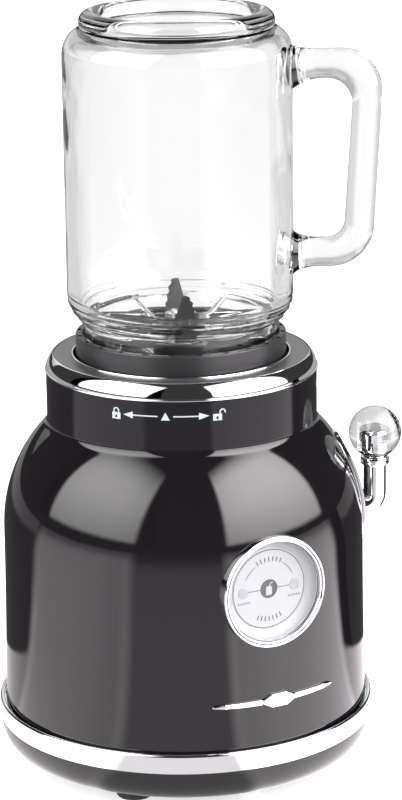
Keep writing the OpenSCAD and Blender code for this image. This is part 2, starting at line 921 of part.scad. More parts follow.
module jar_glass() {
    rotate_extrude() difference() {
        union() {
            jar_section(0, neck_r, finish_top_z);
            translate([0, mouth_z]) square([finish_r, finish_top_z - mouth_z + 1]);
            translate([bead_centre_r, bead_z]) circle(r = rim_bead_r);
            translate([0, crown_z]) square([bead_centre_r, punt_z - crown_z]);
        }
        jar_section(jar_wall, neck_r - 4.4, mouth_z - cut);
    }
}

// Stations down the handle, each [x, z, direction, radius], from the upper root to the lower root
function handle_root(z, heading) = [for (step = root_steps) [jar_r + step[0], z, heading, step[1]]];
function handle_bend(x, z, bend, first, last) = [for (i = [0 : bend_steps])
    let (a = first + (last - first) * i / bend_steps)
    [x + bend * cos(a), z + bend * sin(a), a - 90, rod_r]];
function reversed(list) = [for (i = [len(list) - 1 : -1 : 0]) list[i]];

module handle() {
    stations = concat(
        handle_root(arm_top_z, 0),
        handle_bend(corner_top_x, corner_top_z, corner_top_r, 90, -grip_lean),
        handle_bend(corner_low_x, corner_low_z, corner_low_r, -grip_lean, -90),
        reversed(handle_root(arm_low_z, 180)));
    points = [for (s = stations, k = [0 : rod_sides - 1])
        let (b = 360 * k / rod_sides)
        [s[0] - s[3] * cos(b) * sin(s[2]), s[3] * sin(b), s[1] + s[3] * cos(b) * cos(s[2])]];
    walls = [for (i = [0 : len(stations) - 2], k = [0 : rod_sides - 1], half = [0, 1])
        let (a = i * rod_sides + k, b = i * rod_sides + (k + 1) % rod_sides)
        let (c = b + rod_sides, d = a + rod_sides)
        half == 0 ? [a, b, c] : [a, c, d]];
    caps = [
        [for (k = [rod_sides - 1 : -1 : 0]) k],
        [for (k = [0 : rod_sides - 1]) (len(stations) - 1) * rod_sides + k]
    ];
    polyhedron(points = points, faces = concat(walls, caps));
}

module jar() {
    color([0.85, 0.92, 0.95, 0.35]) {
        jar_glass();
        rotate([0, 0, handle_angle]) handle();
        thread_ridge(finish_r - 0.5, finish_r + thread_bead_w, jar_thread_z, jar_thread_start, 210);
    }
}

// One wing: flat out to the bend, then up at a slant to its tip
module wing(bend_x, rise, length, width, z) {
    translate([0, -width / 2, z]) cube([bend_x, width, blade_t]);
    translate([bend_x - 0.3, 0, z]) rotate([0, -rise, 0])
        linear_extrude(height = blade_t)
            polygon([
                [0, -width * 0.49], [length * 0.7, -width * 0.49], [length, -width * 0.1],
                [length * 0.9, width * 0.3], [0, width * 0.49]
            ]);
}

module lower_blade() {
    color([0.75, 0.76, 0.78]) difference() {
        union() {
            post(blade_hub_r, blade_z, blade_t);
            around(2, 20) wing(9, 50, 15.5, 9, blade_z);
        }
        post(shaft_r, blade_z - cut, 4);
    }
}

module upper_blade() {
    z = blade_z + blade_t;
    color([0.75, 0.76, 0.78]) difference() {
        union() {
            post(blade_hub_r, z, blade_t);
            around(2, 110) wing(8, 60, 15.5, 8, z);
        }
        post(shaft_r, z - cut, 4);
    }
}

module blade_nut() {
    color([0.75, 0.76, 0.78]) translate([0, 0, blade_z + 2 * blade_t]) difference() {
        cylinder(r = 6, h = 3.4, $fn = 6);
        translate([0, 0, -cut]) cylinder(r = shaft_r, h = 10);
    }
}

module blade_shaft() {
    color([0.8, 0.8, 0.82]) {
        post(shaft_r, 146, blade_z + 2 * blade_t + 4.6 - 146);
        ring(6.4, shaft_r, blade_z - 2.2, 2.2);
    }
}

module blade_coupling() {
    color([0.12, 0.12, 0.13]) difference() {
        union() {
            post(coupling_r, coupling_z + 8.9, 2.1);
            around(dog_count, dog_angle + dog_play)
                arc_block(dog_inner_r, coupling_r, coupling_z + 3.5, 6, 0, dog_span);
        }
        post(shaft_r, 140, 20);
    }
}

base_pan();
feet();
base_screws();
base_trim_ring();
body_shell();
collar_ring();
top_plate();
socket_lip();
drive_socket();
cord_bushing();
badge();
dial_housing();
dial_bezel();
dial_face();
dial_lens();
indicator_lights();
indicator_board();
lever_escutcheon();
lever_bush();
lever_return_spring();
lever_arm();
lever_knob();
lever_cam();
switch_body();
switch_bracket();
switch_plunger();
interlock_switch();
interlock_spring();
interlock_pin();
control_board();
motor_mounts();
motor_lower_bracket();
motor_upper_bracket();
motor_screws();
motor_stator();
motor_coils();
motor_brushes();
lower_bearing();
upper_bearing();
rotor_core();
rotor_windings();
commutator();
cooling_fan();
motor_shaft();
motor_coupling();
shaft_bush();
blade_cup();
shaft_seal();
jar_gasket();
jar();
lower_blade();
upper_blade();
blade_nut();
blade_shaft();
blade_coupling();
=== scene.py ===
"""Looks of the countertop blender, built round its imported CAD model.

Lengths in this script are millimetres and are scaled to metres as each mesh is made.
Plan angles are counter-clockwise from +X; the front of the blender faces -Y.
"""

import json
import math

import bmesh
import bpy
from mathutils import Matrix, Vector


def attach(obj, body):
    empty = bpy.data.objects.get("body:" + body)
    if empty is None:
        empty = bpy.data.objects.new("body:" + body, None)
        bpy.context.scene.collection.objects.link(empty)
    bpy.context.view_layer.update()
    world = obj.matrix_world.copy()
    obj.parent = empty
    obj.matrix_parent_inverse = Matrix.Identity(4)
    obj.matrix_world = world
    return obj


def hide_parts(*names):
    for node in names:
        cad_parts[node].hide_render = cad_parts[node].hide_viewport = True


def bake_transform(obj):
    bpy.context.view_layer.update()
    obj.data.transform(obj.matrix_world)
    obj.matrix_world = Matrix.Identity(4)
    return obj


MM = 0.001
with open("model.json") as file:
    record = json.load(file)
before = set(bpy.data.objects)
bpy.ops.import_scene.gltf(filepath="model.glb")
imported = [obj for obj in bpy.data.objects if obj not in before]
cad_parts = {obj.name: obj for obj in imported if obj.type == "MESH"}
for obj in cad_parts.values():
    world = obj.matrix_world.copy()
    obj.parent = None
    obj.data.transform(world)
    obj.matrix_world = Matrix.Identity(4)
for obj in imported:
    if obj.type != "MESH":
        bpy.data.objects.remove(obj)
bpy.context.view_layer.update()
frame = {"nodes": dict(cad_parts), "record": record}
scene = bpy.context.scene


# ---------- mesh helpers ----------


def arc(cx, cz, r, first, last, steps):
    """Points on an arc, angles in degrees."""
    return [
        (
            cx + r * math.cos(math.radians(first + (last - first) * i / steps)),
            cz + r * math.sin(math.radians(first + (last - first) * i / steps)),
        )
        for i in range(steps + 1)
    ]


def rounded(loop, steps=4):
    """A closed outline whose points (x, z, radius) get a fillet of that radius."""
    out = []
    for i, p in enumerate(loop):
        if len(p) < 3 or not p[2]:
            out.append((p[0], p[1]))
            continue
        before, here = Vector(loop[i - 1][:2]), Vector(p[:2])
        after = Vector(loop[(i + 1) % len(loop)][:2])
        u, v = (before - here).normalized(), (after - here).normalized()
        half = u.angle(v) / 2
        start, end = here + u * p[2] / math.tan(half), here + v * p[2] / math.tan(half)
        centre = here + (u + v).normalized() * p[2] / math.sin(half)
        a0 = math.atan2(start.y - centre.y, start.x - centre.x)
        a1 = math.atan2(end.y - centre.y, end.x - centre.x)
        turn = (a1 - a0 + math.pi) % (2 * math.pi) - math.pi
        for k in range(steps + 1):
            a = a0 + turn * k / steps
            out.append((centre.x + p[2] * math.cos(a), centre.y + p[2] * math.sin(a)))
    return out


def shade(obj, sharp=35):
    mesh = obj.data
    mesh.polygons.foreach_set("use_smooth", [True] * len(mesh.polygons))
    mesh.set_sharp_from_angle(angle=math.radians(sharp))
    return obj


def mesh_object(name, verts, faces, sharp=35):
    mesh = bpy.data.meshes.new(name)
    mesh.from_pydata([(x * MM, y * MM, z * MM) for x, y, z in verts], [], faces)
    bm = bmesh.new()
    bm.from_mesh(mesh)
    bmesh.ops.recalc_face_normals(bm, faces=bm.faces)
    if all(e.is_manifold for e in bm.edges) and bm.calc_volume(signed=True) < 0:
        bmesh.ops.reverse_faces(bm, faces=bm.faces)
    bm.to_mesh(mesh)
    bm.free()
    obj = bpy.data.objects.new(name, mesh)
    scene.collection.objects.link(obj)
    return shade(obj, sharp)


def lathe(name, profile, segments=192, sharp=35, warp=None):
    """A closed outline of (r, z) turned about Z. warp(r, z, angle, index) may return another r."""
    verts, faces, rings = [], [], []
    for k, (r, z) in enumerate(profile):
        if r < 1e-6:
            rings.append([len(verts)] * segments)
            verts.append((0, 0, z))
            continue
        rings.append(list(range(len(verts), len(verts) + segments)))
        for i in range(segments):
            a = 2 * math.pi * i / segments
            w = warp(r, z, a, k) if warp else r
            verts.append((w * math.cos(a), w * math.sin(a), z))
    for a, b in zip(rings, rings[1:] + rings[:1]):
        if a[0] == a[1] and b[0] == b[1]:
            continue
        for i in range(segments):
            j = (i + 1) % segments
            faces.append(list(dict.fromkeys((a[i], a[j], b[j], b[i]))))
    return mesh_object(name, verts, faces, sharp)


def tube(name, stations, sides=32, sharp=35):
    """A closed rod in the XZ plane. Stations are (x, z, heading in degrees, radius)."""
    verts, faces = [], []
    for x, z, heading, r in stations:
        s, c = math.sin(math.radians(heading)), math.cos(math.radians(heading))
        for k in range(sides):
            b = 2 * math.pi * k / sides
            verts.append((x - r * math.cos(b) * s, r * math.sin(b), z + r * math.cos(b) * c))
    for i in range(len(stations) - 1):
        for k in range(sides):
            j = (k + 1) % sides
            faces.append(
                (i * sides + k, i * sides + j, (i + 1) * sides + j, (i + 1) * sides + k)
            )
    faces.append(list(range(sides - 1, -1, -1)))
    faces.append([(len(stations) - 1) * sides + k for k in range(sides)])
    return mesh_object(name, verts, faces, sharp)


class Ribbons:
    """Thin closed solids between pairs of 2-D lines, laid on a surface by place(u, v, height)."""

    def __init__(self, place):
        self.place, self.verts, self.faces = place, [], []

    def add(self, left, right, low, high):
        start, n = len(self.verts), len(left)
        for a, b in zip(left, right):
            self.verts += [
                self.place(*a, low), self.place(*b, low),
                self.place(*b, high), self.place(*a, high),
            ]
        for i in range(n - 1):
            p = start + 4 * i
            for k in range(4):
                j = (k + 1) % 4
                self.faces.append((p + k, p + j, p + 4 + j, p + 4 + k))
        self.faces.append((start + 3, start + 2, start + 1, start))
        last = start + 4 * (n - 1)
        self.faces.append((last, last + 1, last + 2, last + 3))

    def bar(self, u0, v0, u1, v1, width, low, high, steps=8):
        d = Vector((u1 - u0, v1 - v0))
        n = Vector((-d.y, d.x)).normalized() * width / 2
        line = [Vector((u0, v0)) + d * i / steps for i in range(steps + 1)]
        self.add([tuple(p + n) for p in line], [tuple(p - n) for p in line], low, high)

    def taper(self, points, low, high, steps=6):
        """points are (u, v at the bottom, v at the top); the solid runs along u."""
        left, right = [], []
        for (u0, b0, t0), (u1, b1, t1) in zip(points, points[1:]):
            for i in range(steps + 1):
                s = i / steps
                left.append((u0 + (u1 - u0) * s, b0 + (b1 - b0) * s))
                right.append((u0 + (u1 - u0) * s, t0 + (t1 - t0) * s))
        self.add(left, right, low, high)

    def bow(self, cu, cv, inner, outer, first, last, low, high, steps=24):
        self.add(arc(cu, cv, inner, first, last, steps), arc(cu, cv, outer, first, last, steps), low, high)

    def disc(self, cu, cv, r, low, high, steps=16):
        top = arc(cu, cv, r, 180, 0, steps)[1:-1]
        self.add(top, [(u, 2 * cv - v) for u, v in top], low, high)

    def object(self, name, sharp=30):
        return mesh_object(name, self.verts, self.faces, sharp)


def welded(mesh):
    """Joins corners that lie within a micrometre of each other and drops faces of no area."""
    bm = bmesh.new()
    bm.from_mesh(mesh)
    bmesh.ops.remove_doubles(bm, verts=bm.verts, dist=2e-6)
    bmesh.ops.dissolve_degenerate(bm, edges=bm.edges, dist=2e-7)
    bm.to_mesh(mesh)
    bm.free()


def boolean(target, tool, operation, sharp=35):
    """target with tool joined to it or cut from it; tool is used up."""
    m = target.modifiers.new("b", "BOOLEAN")
    m.operation, m.object, m.solver = operation, tool, "EXACT"
    done = bpy.data.meshes.new_from_object(
        target.evaluated_get(bpy.context.evaluated_depsgraph_get())
    )
    target.modifiers.clear()
    welded(done)
    old, done.name = target.data, target.data.name
    target.data = done
    bpy.data.meshes.remove(old)
    bpy.data.objects.remove(tool)
    return shade(target, sharp)


def block(size, at, turn=0):
    """A box of that size centred at a point, turned about Z, for cutting."""
    corners = [
        Vector((x * size[0] / 2, y * size[1] / 2, z * size[2] / 2))
        for z in (-1, 1) for y in (-1, 1) for x in (-1, 1)
    ]
    m = Matrix.Rotation(math.radians(turn), 4, "Z") @ Matrix.Translation(at)
    faces = [(0, 2, 3, 1), (4, 5, 7, 6), (0, 1, 5, 4), (2, 6, 7, 3), (0, 4, 6, 2), (1, 3, 7, 5)]
    return [tuple(m @ c) for c in corners], faces


def joined(name, solids):
    """Several separate solids, each as corners and faces, in one object."""
    verts, faces = [], []
    for v, f in solids:
        faces += [[i + len(verts) for i in face] for face in f]
        verts += v
    return mesh_object(name, verts, faces)


def bevelled(obj, width, segments=2, angle=40, sharp=35):
    m = obj.modifiers.new("bevel", "BEVEL")
    m.width, m.segments, m.limit_method = width * MM, segments, "ANGLE"
    m.angle_limit = math.radians(angle)
    done = bpy.data.meshes.new_from_object(
        obj.evaluated_get(bpy.context.evaluated_depsgraph_get())
    )
    obj.modifiers.clear()
    welded(done)
    obj.data = done
    return shade(obj, sharp)


def outwards(obj, angle, z):
    """Turns an object built along +Z so that it points outwards from the base's axis."""
    obj.data.transform(
        Matrix.Rotation(math.radians(angle), 4, "Z")
        @ Matrix.Translation((0, 0, z * MM))
        @ Matrix.Rotation(math.radians(90), 4, "Y")
    )
    return obj


# ---------- materials ----------


def material(name, color, roughness, metallic=0.0, ior=1.5, transmission=0.0, coat=0.0,
             tint=0.06, spread=0.04, scale=90.0, bump=0.0, bump_scale=900.0, stretch=(1, 1, 1)):
    """A finish; tint varies its colour, spread its roughness, and bump adds grain."""
    m = bpy.data.materials.new(name)
    m.use_nodes = True
    nodes, links = m.node_tree.nodes, m.node_tree.links
    shader = nodes["Principled BSDF"]
    shader.inputs["Metallic"].default_value = metallic
    shader.inputs["IOR"].default_value = ior
    shader.inputs["Transmission Weight"].default_value = transmission
    shader.inputs["Coat Weight"].default_value = coat
    shader.inputs["Coat Roughness"].default_value = 0.03
    place = nodes.new("ShaderNodeTexCoord")
    move = nodes.new("ShaderNodeMapping")
    move.inputs["Scale"].default_value = stretch
    links.new(place.outputs["Object"], move.inputs["Vector"])
    noise = nodes.new("ShaderNodeTexNoise")
    noise.inputs["Scale"].default_value = scale
    noise.inputs["Detail"].default_value = 4
    links.new(move.outputs["Vector"], noise.inputs["Vector"])
    shader.inputs["Base Color"].default_value = (*color, 1)
    if tint:
        ramp = nodes.new("ShaderNodeValToRGB")
        ramp.color_ramp.elements[0].color = (*[c * (1 - tint) for c in color], 1)
        ramp.color_ramp.elements[1].color = (*[min(1, c * (1 + tint)) for c in color], 1)
        links.new(noise.outputs["Fac"], ramp.inputs["Fac"])
        links.new(ramp.outputs["Color"], shader.inputs["Base Color"])
    shader.inputs["Roughness"].default_value = roughness
    if spread:
        rough = nodes.new("ShaderNodeMapRange")
        rough.inputs["To Min"].default_value = max(0, roughness - spread / 2)
        rough.inputs["To Max"].default_value = roughness + spread / 2
        links.new(noise.outputs["Fac"], rough.inputs["Value"])
        links.new(rough.outputs["Result"], shader.inputs["Roughness"])
    if bump:
        grain = nodes.new("ShaderNodeTexNoise")
        grain.inputs["Scale"].default_value = bump_scale
        grain.inputs["Detail"].default_value = 3
        links.new(move.outputs["Vector"], grain.inputs["Vector"])
        relief = nodes.new("ShaderNodeBump")
        relief.inputs["Strength"].default_value = bump
        relief.inputs["Distance"].default_value = 0.0002
        links.new(grain.outputs["Fac"], relief.inputs["Height"])
        links.new(relief.outputs["Normal"], shader.inputs["Normal"])
    return m


FINISH = {
    "black_enamel": material("black_enamel", (0.011, 0.0095, 0.0115), 0.05, ior=1.5, spread=0.02, scale=40),
    "black_moulding": material("black_moulding", (0.012, 0.012, 0.0125), 0.24, bump=0.05, bump_scale=1500),
    "chrome_trim": material("chrome_trim", (0.86, 0.865, 0.88), 0.045, metallic=1, tint=0.01, spread=0.02),
    "satin_gray": material(
        "satin_gray", (0.2, 0.2, 0.205), 0.36, metallic=0.75, bump=0.12, bump_scale=2600,
    ),
    "dark_moulding": material("dark_moulding", (0.02, 0.02, 0.022), 0.38, bump=0.1, bump_scale=2000),
    "charcoal_cup": material("charcoal_cup", (0.028, 0.0275, 0.03), 0.3, bump=0.06, bump_scale=2200),
    "black_rubber": material("black_rubber", (0.018, 0.018, 0.018), 0.7, bump=0.25, bump_scale=1600),
    "gray_silicone": material("gray_silicone", (0.55, 0.55, 0.55), 0.45),
    "clear_glass": material(
        "clear_glass", (0.985, 0.992, 0.99), 0.0, transmission=1, tint=0.004, spread=0.0, ior=1.5,
    ),
    "clear_lens": material(
        "clear_lens", (0.98, 0.985, 0.99), 0.0, transmission=1, tint=0.004, spread=0.0, ior=1.18,
    ),
    "knob_acrylic": material(
        "knob_acrylic", (0.97, 0.975, 0.98), 0.01, transmission=1, tint=0.01, spread=0.01, ior=1.49,
    ),
    "dial_silver": material("dial_silver", (0.5, 0.508, 0.515), 0.4, bump=0.04, bump_scale=1800),
    "light_gray": material("light_gray", (0.42, 0.43, 0.45), 0.18, coat=0.5),
    "stainless": material(
        "stainless", (0.56, 0.57, 0.58), 0.27, metallic=1, bump=0.12, bump_scale=700, stretch=(1, 6, 1),
    ),
    "zinc_steel": material("zinc_steel", (0.55, 0.56, 0.6), 0.3, metallic=1, spread=0.12),
    "lamination_steel": material(
        "lamination_steel", (0.25, 0.25, 0.27), 0.45,
        metallic=1, bump=0.4, bump_scale=400, stretch=(0.2, 0.2, 8),
    ),
    "bracket_aluminium": material(
        "bracket_aluminium", (0.6, 0.6, 0.62), 0.42, metallic=1, bump=0.15, bump_scale=1200,
    ),
    "copper_wire": material(
        "copper_wire", (0.6, 0.24, 0.1), 0.3, metallic=1, bump=0.8, bump_scale=350, stretch=(1, 1, 6),
    ),
    "bronze": material("bronze", (0.52, 0.36, 0.17), 0.36, metallic=1, bump=0.15, bump_scale=2400),
    "board_green": material("board_green", (0.02, 0.13, 0.06), 0.35, tint=0.2),
    "white_plastic": material("white_plastic", (0.78, 0.78, 0.74), 0.4),
    "red_plastic": material("red_plastic", (0.5, 0.03, 0.03), 0.38),
    "carbon": material("carbon", (0.05, 0.05, 0.05), 0.6, bump=0.2, bump_scale=1800),
}
COLLAR_ENAMEL = material("collar_enamel", (0.0135, 0.012, 0.0145), 0.07, ior=1.27, spread=0.02, scale=40)
# A near-black, non-metal copy of the stainless finish for the upper blade: painted shade on the steel.
STEEL_PAINTED_SHADE = material(
    "steel_painted_shade", (0.022, 0.022, 0.024), 0.5, metallic=0, bump=0.2, bump_scale=900, stretch=(1, 6, 1),
)
# A dark copy of the chrome for the bezel's groove and inner wall: painted shade.
CHROME_PAINTED_SHADE = material("chrome_painted_shade", (0.12, 0.12, 0.125), 0.3, metallic=1, bump=0.1, bump_scale=900)
PRINT_GRAY = material("print_gray", (0.1, 0.105, 0.11), 0.42, tint=0.03)
PRINT_LIGHT = material("print_light", (0.62, 0.66, 0.72), 0.38, tint=0.03)


def finish(obj, slot, body, *nodes, look=None):
    """Gives a piece its finish, the body it rides on and the CAD nodes it stands for."""
    obj.data.materials.clear()
    obj.data.materials.append(look or FINISH[slot])
    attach(obj, body)
    if nodes:
        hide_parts(*nodes)
    return obj


for part in frame["record"]["subparts"]:
    node = frame["nodes"][part["node"]]
    node.data.materials.clear()
    node.data.materials.append(FINISH[part["material_slot"]])
    shade(node, 28)


# ---------- camera ----------

camera = bpy.data.objects.new("camera", bpy.data.cameras.new("camera"))
scene.collection.objects.link(camera)
scene.camera = camera
CAMERA_TURN = -6
distance, height = 1.14885, 0.4648
pitch, yaw, roll = 0.2719, -0.0066, 0.0120
side0 = Vector((math.cos(yaw), math.sin(yaw), 0))
ahead0 = Vector((-math.sin(yaw), math.cos(yaw), 0))
ahead = ahead0 * math.cos(pitch) - Vector((0, 0, math.sin(pitch)))
above0 = ahead0 * math.sin(pitch) + Vector((0, 0, math.cos(pitch)))
side = side0 * math.cos(roll) - above0 * math.sin(roll)
above = side0 * math.sin(roll) + above0 * math.cos(roll)
pose = Matrix((
    (side.x, above.x, -ahead.x, 0),
    (side.y, above.y, -ahead.y, -distance),
    (side.z, above.z, -ahead.z, height),
    (0, 0, 0, 1),
))
camera.matrix_world = Matrix.Rotation(math.radians(CAMERA_TURN), 4, "Z") @ pose
camera.data.lens = 135.9
camera.data.clip_start, camera.data.clip_end = 0.05, 60


# ---------- studio ----------


class Glow:
    """Builds how bright a light card is at each point from its own coordinates."""

    def __init__(self, m):
        self.nodes, self.links = m.node_tree.nodes, m.node_tree.links
        self.nodes.clear()
        place, split = self.nodes.new("ShaderNodeTexCoord"), self.nodes.new("ShaderNodeSeparateXYZ")
        self.links.new(place.outputs["Object"], split.inputs["Vector"])
        self.x, self.y, self.z = split.outputs

    def put(self, value, socket):
        if isinstance(value, (int, float)):
            socket.default_value = value
        else:
            self.links.new(value, socket)

    def math(self, operation, a, b=0):
        node = self.nodes.new("ShaderNodeMath")
        node.operation = operation
        self.put(a, node.inputs[0])
        self.put(b, node.inputs[1])
        return node.outputs["Value"]

    def ramp(self, value, start, end, low, high):
        node = self.nodes.new("ShaderNodeMapRange")
        node.interpolation_type = "SMOOTHSTEP"
        for socket, v in zip(list(node.inputs)[:5], (value, start, end, low, high)):
            self.put(v, socket)
        return node.outputs["Result"]

    def product(self, *values):
        out = values[0]
        for v in values[1:]:
            out = self.math("MULTIPLY", out, v)
        return out

    def polar(self):
        """Distance from the upright axis in metres and azimuth from the front in degrees."""
        x_square, y_square = self.math("MULTIPLY", self.x, self.x), self.math("MULTIPLY", self.y, self.y)
        square = self.math("ADD", x_square, y_square)
        turn = self.math("ARCTAN2", self.x, self.math("MULTIPLY", self.y, -1))
        return self.math("SQRT", square), self.math("MULTIPLY", turn, 180 / math.pi)

    def window(self, value, first, last, soft):
        """1 between first and last, 0 outside, fading over soft at both ends."""
        rise = self.ramp(value, first - soft, first + soft, 0, 1)
        return self.math("MULTIPLY", rise, self.ramp(value, last - soft, last + soft, 1, 0))


def card(name, verts, faces, color, recipe, seen):
    """A light card that only the named kinds of ray see."""
    obj = mesh_object(name, verts, faces)
    m = bpy.data.materials.new(name)
    m.use_nodes = True
    glow = Glow(m)
    light, out = glow.nodes.new("ShaderNodeEmission"), glow.nodes.new("ShaderNodeOutputMaterial")
    light.inputs["Color"].default_value = (*color, 1)
    glow.put(recipe(glow), light.inputs["Strength"])
    glow.links.new(light.outputs["Emission"], out.inputs["Surface"])
    obj.data.materials.append(m)
    for ray in ("camera", "diffuse", "glossy", "transmission", "shadow"):
        setattr(obj, "visible_" + ray, ray in seen)
    return obj


def softbox(name, middle, half, peak, foot, top, lean=0.0, color=(1, 1, 1)):
    """An upright soft light 1.6 m away at an azimuth, brightest at its middle height."""
    reach = 1.6 * math.tan(math.radians(half))

    def recipe(g):
        inner = g.math("SUBTRACT", g.x, g.math("MULTIPLY", g.math("SUBTRACT", g.z, 0.7), lean))
        across = g.product(
            g.ramp(inner, reach * 0.84, reach, 1, 0), g.ramp(g.x, -reach, -reach * 0.86, 0, 1)
        )
        sag = g.ramp(g.math("ABSOLUTE", g.x), 0.2, reach * 1.2, 1, 0.72)
        up = g.math("MULTIPLY", g.ramp(g.z, foot, foot + 0.12, 0, 1), g.ramp(g.z, foot - 0.7, 1.35, 0.3, 1))
        return g.product(peak, across, sag, up, g.ramp(g.z, top[0], top[1], 1, 0))

    w = 1600 * math.tan(math.radians(half)) + 600 * lean * 4
    corners = [(x, -1600, z * 1000) for x, z in ((-w, foot), (w, foot), (w, top[1]), (-w, top[1]))]
    obj = card(name, corners, [(0, 1, 2, 3)], color, recipe, ("glossy", "transmission"))
    obj.matrix_world = Matrix.Rotation(math.radians(middle), 4, "Z")
    return obj


def disc(inner, outer, height, steps=96):
    """A flat ring, as corners and faces."""
    verts, faces = [], []
    for i in range(steps):
        a = 2 * math.pi * i / steps
        verts += [(r * math.cos(a), r * math.sin(a), height) for r in (inner, outer)]
    for i in range(steps):
        j = (i + 1) % steps
        faces.append((2 * i, 2 * i + 1, 2 * j + 1, 2 * j))
    return verts, faces


def table_glow(g):
    """The table as glossy parts see it: lit from the left and right, dim in the middle and behind."""
    r, az = g.polar()
    left = g.product(
        g.window(az, -106, -37, 4), g.ramp(az, -108, -70, 0.76, 1), g.ramp(az, -62, -36, 1, 0.82),
        g.ramp(r, 0.55, 1.5, 2.15, 0.9), g.ramp(r, 1.5, 3.8, 1, 0.1)
    )
    right = g.product(
        g.window(az, 18, 96, 3.5), g.ramp(az, 16, 50, 0.85, 1.05),
        g.ramp(r, 0.35, 1.6, 3.0, 1.0), g.ramp(r, 1.6, 3.8, 1, 0.1)
    )
    front = g.product(g.window(az, -41, 21, 4), g.ramp(r, 0.1, 0.95, 0.88, 0.14), g.ramp(r, 0.9, 3, 1, 0.1))
    wrap = g.ramp(r, 0.11, 0.205, 72, 0)
    near = g.ramp(r, 0.24, 0.32, 1, 0)
    near_left = g.product(
        1.0, g.ramp(g.math("ADD", az, wrap), -110, -102, 0, 1), g.ramp(az, -108, -100, 1, 0), near
    )
    near_right = g.product(
        1.9, g.ramp(g.math("SUBTRACT", az, wrap), 92, 99, 1, 0), g.ramp(az, 91, 98, 0, 1), near
    )
    far = g.product(g.math("GREATER_THAN", g.math("ABSOLUTE", az), 108), g.ramp(r, 0.6, 0.9, 0.08, 0.45))
    total = g.math("ADD", left, right)
    for part in (front, near_right, near_left, far):
        total = g.math("ADD", total, part)
    return total


def behind(g):
    """Degrees away from straight behind the object, as the camera stands."""
    return g.math("SUBTRACT", 180, g.math("ABSOLUTE", g.math("ADD", g.polar()[1], -CAMERA_TURN)))


def sweep_floor_glow(g):
    """What clear parts see below them: a white sweep that dims towards the sides."""
    off = behind(g)
    middle, sides = g.ramp(off, 14, 34, 1.05, 0.74), g.ramp(off, 40, 90, 1, 0.6)
    return g.product(middle, sides, g.ramp(off, 105, 150, 1, 2))


def sweep_wall_glow(g):
    """What clear parts see above the horizon: white low down, grayer higher up and in front."""
    return g.product(g.ramp(g.z, 0.1, 1.0, 1.0, 0.5), g.ramp(behind(g), 95, 130, 1, 0.8))


floor_corners = [(x * 9000, y * 9000, 0) for x, y in ((-1, -1), (1, -1), (1, 1), (-1, 1))]
floor = mesh_object("floor", floor_corners, [(0, 1, 2, 3)])
paper = material("floor", (0.9, 0.9, 0.9), 0.9, tint=0.0, spread=0.0)
paper.node_tree.nodes["Principled BSDF"].inputs["Emission Color"].default_value = (1, 1, 1, 1)
paper.node_tree.nodes["Principled BSDF"].inputs["Emission Strength"].default_value = 0.66
floor.data.materials.append(paper)
floor.visible_glossy = floor.visible_transmission = False

softbox("softbox_left", -67, 35, 7.3, 0.2, (1.5, 4.0), lean=0.18, color=(1, 0.975, 0.99))
softbox("softbox_right", 56, 37.5, 10.8, 0.14, (1.9, 3.5), color=(1, 0.96, 0.99))
card("table", *disc(60, 4000, 0.4), (1, 0.95, 0.985), table_glow, ("glossy",))
card("sweep_floor", *disc(60, 4200, 0.6), (1, 0.982, 0.995), sweep_floor_glow, ("transmission",))
ring = []
for k in range(96):
    t = 2 * math.pi * k / 96
    ring += [(4200 * math.cos(t), 4200 * math.sin(t), 0), (4200 * math.cos(t), 4200 * math.sin(t), 5200)]
hoop = [(2 * k, 2 * k + 1, (2 * k + 3) % 192, (2 * k + 2) % 192) for k in range(96)]
card("sweep_wall", ring, hoop, (1, 0.982, 0.995), sweep_wall_glow, ("transmission",))
card("ceiling", *disc(0.01, 4200, 5190), (1, 1, 1), lambda g: 0.42, ("transmission",))
card("room", ring, hoop, (1, 1, 1), lambda g: 0.04, ("glossy",))
card("room_ceiling", *disc(0.01, 4200, 5195), (1, 1, 1), lambda g: 0.04, ("glossy",))
rim_corners = [(x, 3000, z) for x, z in ((-1900, 500), (1900, 500), (1900, 4200), (-1900, 4200))]
card(
    "rim_card", rim_corners, [(0, 1, 2, 3)], (1, 1, 1),
    lambda g: g.ramp(g.z, 0.5, 1.5, 0.5, 1.0), ("glossy",),
)

world = bpy.data.worlds.new("studio")
scene.world = world
world.use_nodes = True
world.node_tree.nodes["Background"].inputs["Color"].default_value = (1, 1, 1, 1)
world.node_tree.nodes["Background"].inputs["Strength"].default_value = 1.12
world.cycles_visibility.glossy = False
world.cycles_visibility.transmission = False
scene.view_settings.view_transform = "Standard"


# ---------- base ----------

DOME_X, DOME_Z, DOME_R = 12.3, 95.2, 59.2
COLLAR_R, COLLAR_Z, SHELL_Z, WALL = 53.3, 158.8, 19.0, 2.2
COLLAR_FOOT_Z, CORD_Z = 139.6, 33


def shell_r(z):
    """Outer radius of the shell: a slightly flared wall under a dome."""
    if z < DOME_Z:
        return 71.5 + 1.2 * ((DOME_Z - z) / (DOME_Z - SHELL_Z)) ** 2
    return DOME_X + math.sqrt(DOME_R**2 - (z - DOME_Z) ** 2)


def shell_profile():
    fillet = 4.5
    cx = COLLAR_R + fillet
    cz = DOME_Z + math.sqrt((DOME_R + fillet) ** 2 - (cx - DOME_X) ** 2)
    top = math.degrees(math.atan2(cz - DOME_Z, cx - DOME_X))
    wall = [(shell_r(z), z) for z in (19.6 + (DOME_Z - 19.6) * i / 16 for i in range(16))]
    outer = [(72.3, SHELL_Z)] + wall + arc(DOME_X, DOME_Z, DOME_R, 0, top, 40)
    outer += arc(cx, cz, fillet, top + 180, 180, 14)[1:] + [(COLLAR_R, 150), (COLLAR_R, COLLAR_Z)]
    inner = [(COLLAR_R - WALL, COLLAR_Z), (COLLAR_R - WALL, 138.5)]
    inner += arc(DOME_X, DOME_Z, DOME_R - WALL, 47, 0, 20)
    inner += [(shell_r(z) - WALL, z) for z in (80, 60, 40)] + [(70.5, SHELL_Z)]
    return outer + inner


